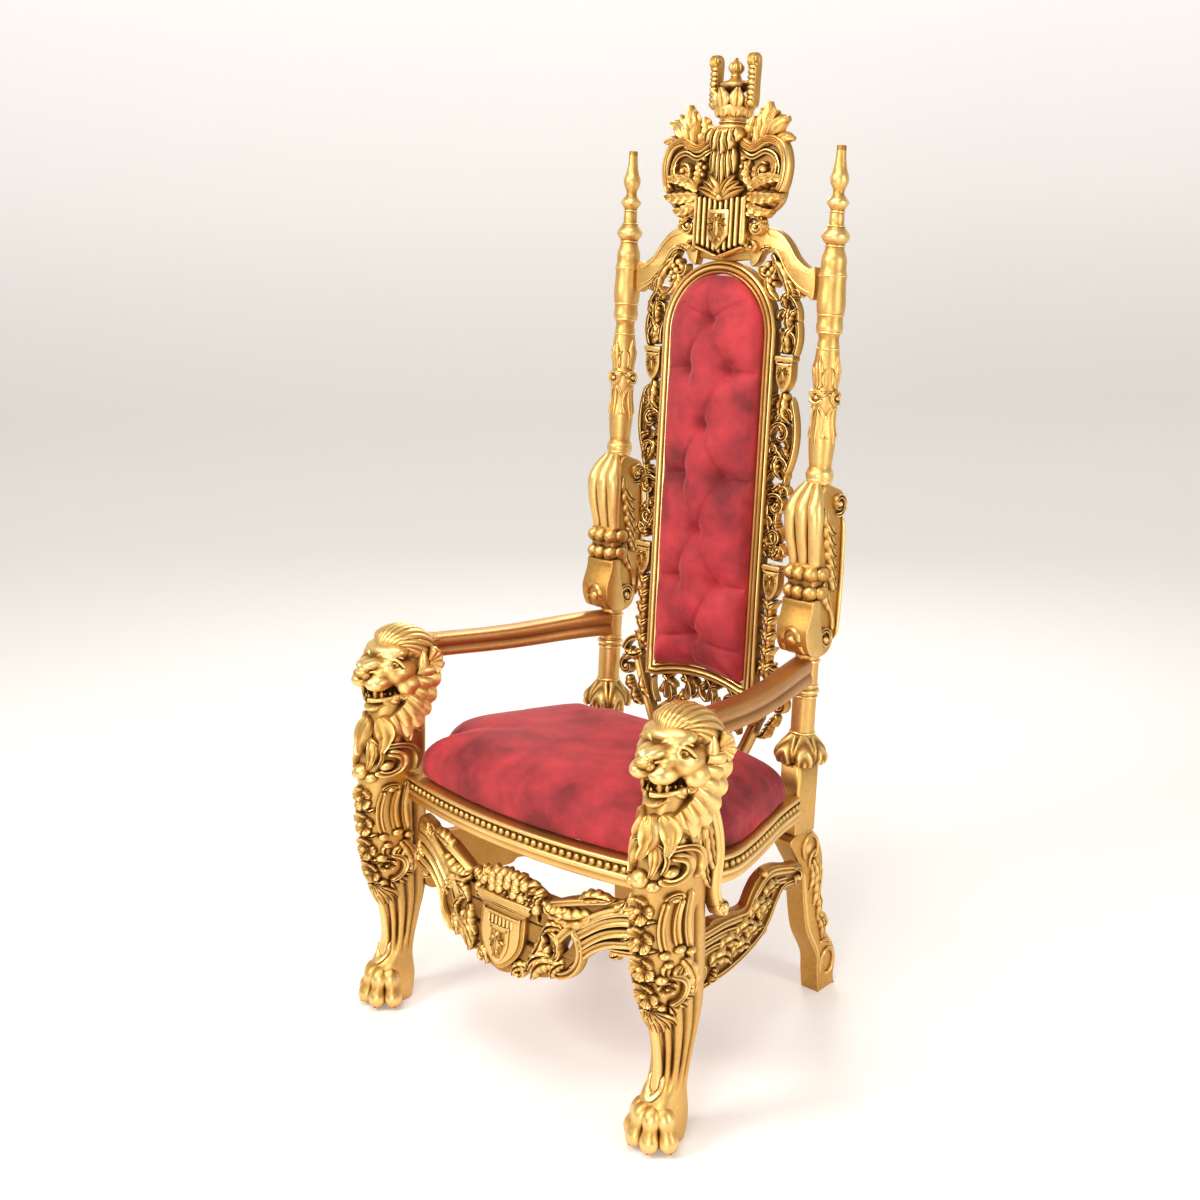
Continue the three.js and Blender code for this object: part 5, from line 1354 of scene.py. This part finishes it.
for z0 in (1240, 838):
    fret.add(plate([(IN + 5, z0 + 36), (IN + 25, z0 + 36), (IN + 45, z0 + 36), (IN + 44, z0 + 26),
                    (IN + 25, z0 + 26), (IN + 6, z0 + 26)], -8, 16, tone=0.7))
    fret.add(shield_plate(IN + 25, z0, 18, 24, -32, -8, 13, 0.8)).add(shield_plate(IN + 25, z0, 13.5, 19,
        -26, 6, 14.5, 0.25))
    fret.add(bird(IN + 25, z0 - 1, 28, 10, 18))
for k, z0 in enumerate(np.arange(646, 800, 31)):
    for side in (-1, 1):
        fret.add(leaf(bow((IN + 22, z0), (IN + 22 + side * 20, z0 + 34), 0.22 * side), 21, 15, -8, 2,
                      0.2))
    fret.add(ball(IN + 22, z0 + 22, 6, 15, -8, 10, 5))
fret.add(stroke(bow((IN + 22, 640), (IN + 22, 806)), 7, 6, -8, 0, 20))

apron = Carving()
apron.add(stroke(bow((176, 640), (108, 476), 0.02), 24, 14, -9, 0.5,
                 40)).add(stroke(spiral((200, 602), (21, 6), (130, -230)), 12, 15, -8, 0.4, 44))
apron.add(ball(200, 602, 7, 15, -8)).add(stroke(bow((150, 664), (214, 632), 0.25), 14, 14, -8, 0.4, 30))
for a, b, wide, bend in (((150, 650), (178, 672), 24, 0.2), ((160, 640), (206, 636), 26, -0.2),
                         ((196, 582), (172, 556), 22, 0.2), ((180, 560), (152, 528), 22, 0.2),
                         ((158, 590), (132, 548), 20, 0.2), ((214, 620), (190, 645), 22, 0.2)):
    apron.add(leaf(bow(a, b, bend), wide, 16, -8, 3, 0.32, 0.1))
for a, b, bend in (((10, 622), (36, 560), 0.15), ((50, 618), (22, 570), -0.15),
                   ((70, 612), (88, 552), 0.2), ((104, 604), (74, 548), -0.2),
                   ((128, 596), (112, 540), 0.1), ((36, 560), (74, 548), 0.3),
                   ((0, 600), (22, 570), -0.2), ((88, 552), (60, 500), 0.1), ((20, 560), (30, 496), 0.1)):
    apron.add(stroke(bow(a, b, bend), 8, 12, -8, **vine))
for a, b, bend in (((30, 596), (52, 604), 0.2), ((66, 580), (90, 592), 0.2), ((60, 560), (44, 584), 0.2),
                   ((108, 566), (96, 590), 0.2), ((8, 590), (22, 610), 0.2),
                   ((40, 548), (58, 528), 0.2), ((84, 540), (106, 520), 0.2),
                   ((4, 556), (-14, 536), 0.2)):
    apron.add(leaf(bow(a, b, bend), 17, 15, -8, 2, 0.3, steps=18, across=11))
apron.add(plate([(0, 478), (60, 476), (104, 472), (104, 488), (60, 494), (0, 496)], -8, 8))
frame_carving.add(fret.add(apron).mirror())
Carving().add(frame_carving, on_back).piece("back_frame", gilt)

# ------------------------------------------------------------------ top rail
# A serpentine rail that climbs from each pole to the crest, an incised line inside its edge, and a
# hooked scroll under it round a bunch of grapes.

over = [(222, 1441), (205, 1443), (180, 1459), (158, 1487), (138, 1505), (110, 1515), (68, 1515)]
under = [(68, 1447), (84, 1449), (96, 1467), (118, 1471), (138, 1457), (156, 1429), (180, 1405),
         (206, 1391), (222, 1387)]
half_rail = plate(over + under, -12, 10, tone=0.65, rim=0.95, per=6)


line_over = profile(*[(222 - x, z) for x, z in over[:-1]])
line_under = profile((0, 1387), (16, 1391), (42, 1405), (66, 1429), (84, 1457), (104, 1471))
half_rail.add(stroke(lambda t: (216 - 112 * t, line_over(6 + 112 * t) - 9 - 3 * t), 5, 13, 4, 0.0, 60))
half_rail.add(stroke(lambda t: (216 - 96 * t, line_under(6 + 96 * t) + 9), 5, 13, 4, 0.0, 60))
half_rail.add(stroke(spiral((106, 1440), (29, 9), (75, -200)), 13, 17, -8, 0.35, 50)).add(ball(106, 1440,
    6, 15, -6))
for x, z, r in ((112, 1446, 9), (124, 1438, 8), (117, 1430, 9), (128, 1424, 8), (121, 1416, 8),
                (132, 1411, 7), (102, 1436, 8)):
    half_rail.add(ball(x, z, r, 17, -6, 12, 6))
for a, b, wide, bend in (((126, 1452), (166, 1384), 22, 0.12), ((112, 1424), (142, 1380), 22, -0.15),
                         ((148, 1420), (176, 1390), 16, 0.2),
                         ((92, 1470), (118, 1478), 14, 0.1)):
    half_rail.add(leaf(bow(a, b, bend), wide, 18, 2, 3, 0.3, 0.1))
rail = half_rail.mirror().add(plate([(-72, 1456), (72, 1456), (72, 1512), (-72, 1512)], -12, 2, per=2))
Carving().add(rail, on_back).piece("top_rail", gilt)

# ------------------------------------------------------------------ crest
# A fluted shield panel between two C scrolls full of swirling leaves, a pair of open leaf fans over
# it, and a bell of long petals under a draped collar.

half = [(0, 1456), (30, 1464), (60, 1474), (65, 1500), (66, 1530), (90, 1550), (104, 1544), (122, 1546),
        (142, 1566), (148, 1600),
        (151, 1634), (142, 1664), (112, 1680), (72, 1668), (40, 1682), (34, 1696), (0, 1701)]
board = plate(half + [(-x, y) for x, y in half[-2:0:-1]], 3, 15,
              [(84, 1604, 10, 20, 0), (-84, 1604, 10, 20, 0)], tone=0.2)
side = Carving()
shoulder = through((26, 1686), (66, 1664), (104, 1678), (136, 1666), (148, 1634), (143, 1596),
                   (130, 1580))
inner_band = through((30, 1664), (66, 1646), (98, 1656), (122, 1646), (130, 1622), (124, 1602),
                     (112, 1598))
side.add(stroke(shoulder, 22, 30, 8, 0.3, 60, 13)).add(stroke(shoulder, 9, 33, 8, 0.2,
    60)).add(stroke(inner_band, 13, 27, 8, 0.4, 50))
side.add(stroke(spiral((100, 1622), (28, 7), (40, -300)), 15, 33, 8, 0.35, 44)).add(ball(100, 1622, 8, 34,
    10))
side.add(stroke(spiral((84, 1518), (22, 6), (150, -220)), 13, 27, 8, 0.35, 36)).add(ball(84, 1518, 7, 27,
    10))
side.add(stroke(spiral((76, 1478), (11, 4), (120, -200)), 8, 24, 10, 0.3, 24)).add(ball(76, 1478, 4.5, 25,
    10))
for a, b, wide, high, bend, lobes in (
    ((64, 1584), (150, 1602), 38, 31, 0.14, 5), ((62, 1574), (148, 1574), 38, 33, -0.06, 5),
                                      ((62, 1566), (124, 1546), 34, 31, -0.16, 4),
    ((74, 1590), (66, 1640), 28, 30, 0.2, 4), ((88, 1600), (84, 1634), 20, 32, 0.1, 3),
                                      ((60, 1560), (96, 1538), 26, 27, -0.2, 3),
    ((70, 1660), (98, 1748), 52, 24, -0.06, 2), ((92, 1664), (146, 1716), 44, 25, 0.14, 2),
                                      ((116, 1666), (160, 1678), 28, 24, 0.16, 1),
    ((80, 1670), (84, 1736), 26, 27, 0.04, 1), ((88, 1670), (120, 1730), 26, 27, 0.06, 1),
    ((52, 1680), (62, 1724), 32, 19, 0.06, 3), ((84, 1530), (104, 1508), 20, 28, 0.2, 3),
                                      ((56, 1500), (66, 1470), 16, 22, 0.1, 2),
):
    side.add(leaf(bow(a, b, bend), wide, high, 8, lobes, 0.3, 0.1, steps=26, across=17, veins=0.22,
                  reeds=0.12))
for x, z in ((48, 1644), (56, 1634), (46, 1628), (56, 1622), (50, 1614)):
    side.add(ball(x, z, 6.5, 30, 8, 12, 5))
centre = Carving()
for x in np.arange(-54, 55, 13.5):
    foot = 1459 + abs(x) * 0.32
    centre.add(stroke(bow((x, 1578), (x, foot)), 11.5, 28, 10, 0.0, 14, taper=(0.02, 0.02)))
for flank in (-1, 1):
    centre.add(stroke(bow((flank * 61, 1580), (flank * 61, 1478)), 7, 31, 8, 0.0, 14, taper=(0.02, 0.02)))
    centre.add(stroke(bow((flank * 61, 1478), (0, 1458)), 7, 31, 8, 0.0, 14, taper=(0.02, 0.02)))
    for k in range(3):
        centre.add(leaf(bow((flank * 2, 1568 + 3 * k), (flank * (56 - 12 * k), 1588 + 12 * k),
                            0.06 * flank), 22, 36 + k, 18, 0, 0.0,
                        veins=0.0, steps=16, across=9))
shield = [(-26, 1548), (26, 1548), (26, 1500), (0, 1470), (-26, 1500)]
centre.add(plate(shield, 20, 33, tone=0.85, per=1)).add(plate([(x * 0.8, 1512 + (z - 1512) * 0.84) for x,
    z in shield], 26, 34, tone=0.2, per=1))
centre.add(bird(0, 1512, 46, 30, 40))
centre.add(lump((0, 1640, 14), (30, 44, 12), 0.6)).add(ball(0, 1570, 8, 38, 20))
for x, length in ((-27, 58), (27, 58), (-14, 72), (14, 72), (0, 84)):
    centre.add(leaf(bow((x * 0.8, 1672), (x, 1674 - length), 0), 19, 36 - abs(x) * 0.15, 12, 0, 0.0, 0.1,
                    veins=0.1, steps=20, fat=1.15))
for x, drop in ((-34, 28), (34, 28), (-18, 42), (18, 42), (0, 50)):
    centre.add(leaf(bow((x * 0.85, 1702), (x * 1.1, 1702 - drop), 0), 27, 41, 10, 0, 0.0, 0.25, veins=0.1,
                    steps=18, fat=1.3))
centre.add(lump((0, 1694, 12), (37, 12, 22), 0.8))
Carving().add(Carving().add(board).add(side.mirror()).add(centre), on_back).piece("crest", gilt)

# ------------------------------------------------------------------ crown
# A leafy bowl on a waisted neck, an urn standing in it, and on each side an upright plate with a
# beaded front edge and a scrolled head.

crown_radius = profile((1701, 33), (1706, 34), (1710, 28), (1716, 25), (1722, 27), (1727, 33), (1733, 37),
                       (1740, 38), (1746, 33),
                       (1752, 14), (1758, 11), (1766, 12), (1772, 20), (1778, 26), (1786, 27), (1792, 18),
                       (1798, 10), (1804, 9), (1810, 13), (1818, 13.5), (1826, 8), (1834, 2))
crown = turned(crown_radius, 1701, 1834, 110)
for height, radius, thick in ((1704, 32, 3), (1713, 27, 2), (1784, 27, 1.8), (1800, 9, 1.6)):
    crown.add(rib(radius, height, thick))
for k in range(8):
    around = TURN * k / 8
    spread = leaf(bow((0, 1722), (0, 1774), 0), 35, 8, -4, 2, 0.25, 0.6, steps=22, veins=0.3)
    crown.add(Carving().add(spread, lambda x, z, w, a=around: (
        (31 + w + (z - 1726) * 0.14) * np.sin(a + x / 36),
            -(31 + w + (z - 1726) * 0.14) * np.cos(a + x / 36), z)))
for k in range(6):
    around = TURN * (k + 0.5) / 6
    crown.add(Carving().add(leaf(bow((0, 1806), (0, 1832), 0), 12, 4, -3, 1, 0.1, steps=14, across=9),
                            lambda x, z, w, a=around: (
        (crown_radius(z) + w * 0.6) * np.sin(a + x / 14),
                                                       -(crown_radius(z) + w * 0.6) * np.cos(a + x / 14),
                                                       z)))
for side_sign in (-1, 1):
    wing = plate([(-10, 1744), (10, 1744), (12, 1790), (13, 1828), (6, 1840), (-8, 1841), (-17, 1832),
                  (-17, 1820), (-9, 1812), (-9, 1780)], -7, 7, per=4)
    for face_sign in (-1, 1):
        curl = stroke(spiral((-6, 1828), (9, 3), (-120, 240)), 6, 9.5, 5, 0.3, 24)
        wing.add(curl, lambda x, y, w, f=face_sign: (x, y, f * w), flip=face_sign < 0)
    for z0, size in zip(np.arange(1748, 1816, 9.5), (6, 5, 6.5, 5, 6.5, 5, 6, 5)):
        wing.add(lump((-11, z0, 0), (size, size, 8.5), 0.95, 12, 9))
    crown.add(wing, lambda u, v, w, s=side_sign: (s * 46 + w, u, v))
    crown.add(block(14, 6, 1742, 1752), lambda x, y, z, s=side_sign: (x + s * 34, y, z))
    crown.add(tube(stack(side_sign * np.linspace(12, 44, 10), np.zeros(10),
                         1782 + 6 * np.sin(np.linspace(0, np.pi, 10))), 4))
Carving().add(crown, lambda x, y, z: raked(x, y, z / math.cos(RAKE))).piece("crown_finial", gilt)

# ------------------------------------------------------------------ velvet
# A domed seat cushion and a buttoned back panel, both foam under red velvet, pulled down behind the
# gilded wood. The cloth is let out by a pressure run, then the buttons draw it back in.


# the way out of each cushion, and the level below which its cloth is held
PULL = {"seat_cushion": (0, 0, 1, 0.468),
        "back_cushion": (0, -math.cos(RAKE), math.sin(RAKE), -0.14)}


def puffed(carving, name, node, cap, after=None, voxel=0.006):
    """The piece as a closed skin of even cells, let out by a cloth run with pressure inside, no
    point moving further than cap, then passed through after and rounded by one subdivision."""
    points, _, quads, tris = carving.gathered()
    mesh = bpy.data.meshes.new(name)
    mesh.from_pydata((points / 1000).tolist(), [], quads.tolist() + tris.tolist())
    obj = bpy.data.objects.new(name, mesh)
    scene.collection.objects.link(obj)
    remesh = obj.modifiers.new("cells", "REMESH")
    remesh.mode, remesh.voxel_size, remesh.use_smooth_shade = "VOXEL", voxel, True
    settle(obj)
    count = len(obj.data.vertices)
    start = np.empty(count * 3)
    obj.data.vertices.foreach_get("co", start)
    still = obj.vertex_groups.new(name="held")
    held = np.flatnonzero(start.reshape(-1, 3) @ PULL[node][:3] < PULL[node][3])
    still.add(held.tolist(), 1.0, "REPLACE")
    run = obj.modifiers.new("puff", "CLOTH")
    run.settings.use_pressure, run.settings.uniform_pressure_force = True, 4.0
    run.settings.effector_weights.gravity = 0
    run.settings.quality = 4
    run.settings.vertex_group_mass = "held"
    for number in range(1, 16):
        scene.frame_set(number)
    settle(obj)
    scene.frame_set(1)
    moved = np.empty(count * 3)
    obj.data.vertices.foreach_get("co", moved)
    way = (moved - start).reshape(-1, 3)
    far = np.linalg.norm(way, axis=1, keepdims=True)
    obj.data.vertices.foreach_set("co", start + (way
                                                 * np.minimum(1,
                                                     cap / np.maximum(far, 1e-9))).ravel())
    fine = obj.modifiers.new("fine", "SUBSURF")
    fine.levels = fine.render_levels = 1
    settle(obj)
    if after is not None:
        place = np.empty(len(obj.data.vertices) * 3)
        obj.data.vertices.foreach_get("co", place)
        obj.data.vertices.foreach_set("co", after(place.reshape(-1, 3)).ravel())
    obj.data.materials.clear()
    obj.data.materials.append(velvet)
    obj.data.shade_smooth()
    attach(obj, "root")
    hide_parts(node)
    return obj


def settle(obj):
    """Applies the modifiers."""
    solid = bpy.data.meshes.new_from_object(obj.evaluated_get(bpy.context.evaluated_depsgraph_get()))
    solid.name = obj.name
    obj.modifiers.clear()
    obj.data = solid


# the half-space that holds each cushion still: a direction and how far along it

seat_half = [(0, -279), (110, -274), (215, -260), (300, -238), (301, -208), (304, -168), (338, -144),
             (371, -90), (357, -20),
             (332, 60), (308, 130), (287, 184), (262, 187), (222, 193), (206, 208), (110, 210), (0, 210)]
seat_line = rounded(seat_half + [(-x, y) for x, y in seat_half[-2:0:-1]], 5)
shrink = np.array([0.97, 0.985, 0.985, 0.985, 0.97, 0.94, 0.89, 0.8, 0.68, 0.52, 0.34, 0.16, 0.04])[:,
    None]
height = np.array([2, 4, 18, 36, 50, 62, 74, 86, 95, 101, 104.5, 105.5, 106])[:, None]
x = seat_line[:, 0] * shrink
y = (seat_line[:, 1] + 34) * shrink - 34
seat = Carving().skin(stack(x, y + SHIFT, rail_top(y) + height))
puffed(seat, "seat_velvet", "seat_cushion", 0.007)

BUTTONS = [(0, 1335), (0, 1130), (0, 920), (0, 710), (51, 1240), (51, 1030), (51, 820), (-51, 1240),
           (-51, 1030), (-51, 820)]
CREASES = [((sx * 51, z0), (sx * 128, z0 - 4)) for sx in (-1, 1) for z0 in (1240, 1030, 820)]
CREASES += [((sx * 51, z0), (0, z0 + dz)) for sx in (-1, 1) for z0 in (1240, 1030, 820)
            for dz in (100, -110)]
CREASES += [((0, 1335), (0, 1440)), ((0, 710), (0, 620)), ((0, 1335), (-90, 1380)),
            ((0, 1335), (90, 1380)), ((0, 710), (110, 690)),
            ((0, 710), (-110, 690))]


def tufted(x, z):
    """How far the buttons draw the velvet in: a deep pit at each, and a crease along each pull."""
    depth = 0
    for bx, bz in BUTTONS:
        gap = np.hypot(x - bx, z - bz)
        depth = depth + 22 * np.exp(-((gap / 12) ** 2)) + 17 * np.exp(-((gap / 36) ** 2))
    for k, ((ax, az), (bx, bz)) in enumerate(CREASES):
        along = np.clip(((x - ax) * (bx - ax) + (z - az) * (bz - az)) / ((bx - ax) ** 2 + (bz - az) ** 2),
                        0, 1)
        gap = np.hypot(x - ax - along * (bx - ax), z - az - along * (bz - az))
        firm = (12 if k < 6 else 6.5) * (1 - 0.35 * along)
        depth = depth + firm * np.exp(-((gap / 4.5) ** 2)) + 0.7 * firm * np.exp(-((gap / 15) ** 2))
    return depth


def drawn_in(place):
    """Moves the front of the panel back along the raked frame's depth."""
    p = place * 1000
    depth = (p[:, 1] - POST_FOOT_Y - SHIFT) * math.cos(RAKE) - p[:, 2] * math.sin(RAKE)
    up = (p[:, 2] * math.cos(RAKE) + (p[:, 1] - POST_FOOT_Y - SHIFT) * math.sin(RAKE)) * math.cos(RAKE)
    edge = np.minimum(PANEL_HALF - np.abs(p[:, 0]),
                      PANEL_HALF - np.hypot(p[:, 0], np.maximum(up - ARCH_Z, 0)))
    edge = np.minimum(edge, up - panel_foot(p[:, 0]))
    pull = tufted(p[:, 0], up) * smooth(edge, 0, 12)
    room = np.maximum(-depth - 13, 0)
    pull = room * (1 - np.exp(-pull / np.maximum(room, 1)))
    return (p + np.outer(pull, (0, math.cos(RAKE), -math.sin(RAKE)))) / 1000


top_part = ARCH_Z + PANEL_HALF * np.sin(np.linspace(0, np.pi / 2 * 0.985, 34))[1:]
z = np.concatenate([np.linspace(649, ARCH_Z, 110), top_part - 2])[:, None]
half_wide = np.sqrt(np.clip(PANEL_HALF ** 2 - np.clip(z - ARCH_Z, 0, None) ** 2, 16, None)) - 2
s = np.sin(np.linspace(-1, 1, 41) * np.pi / 2)[None, :]
x = half_wide * s
rise = z + (panel_foot(x) - 645) * (1 - smooth(z, 649, 760))
edge = np.minimum(np.minimum(half_wide * (1 - np.abs(s)),
                             PANEL_HALF - np.hypot(x, np.clip(rise - ARCH_Z, 0, None))), z - 645)
swell = 14 + 46 * (1 - (1 - np.clip(edge / PANEL_HALF, 0, 1)) ** 3.2) ** 0.6
back_flat = stack(x[:, ::-1][:, 1:-1], rise[:, ::-1][:, 1:-1], 0 * x[:, 1:-1])
panel = Carving().skin(np.concatenate([stack(x, rise, swell), back_flat], 1))
puffed(Carving().add(panel, on_back, flip=True), "back_velvet", "back_cushion", 0.006, drawn_in, 0.005)
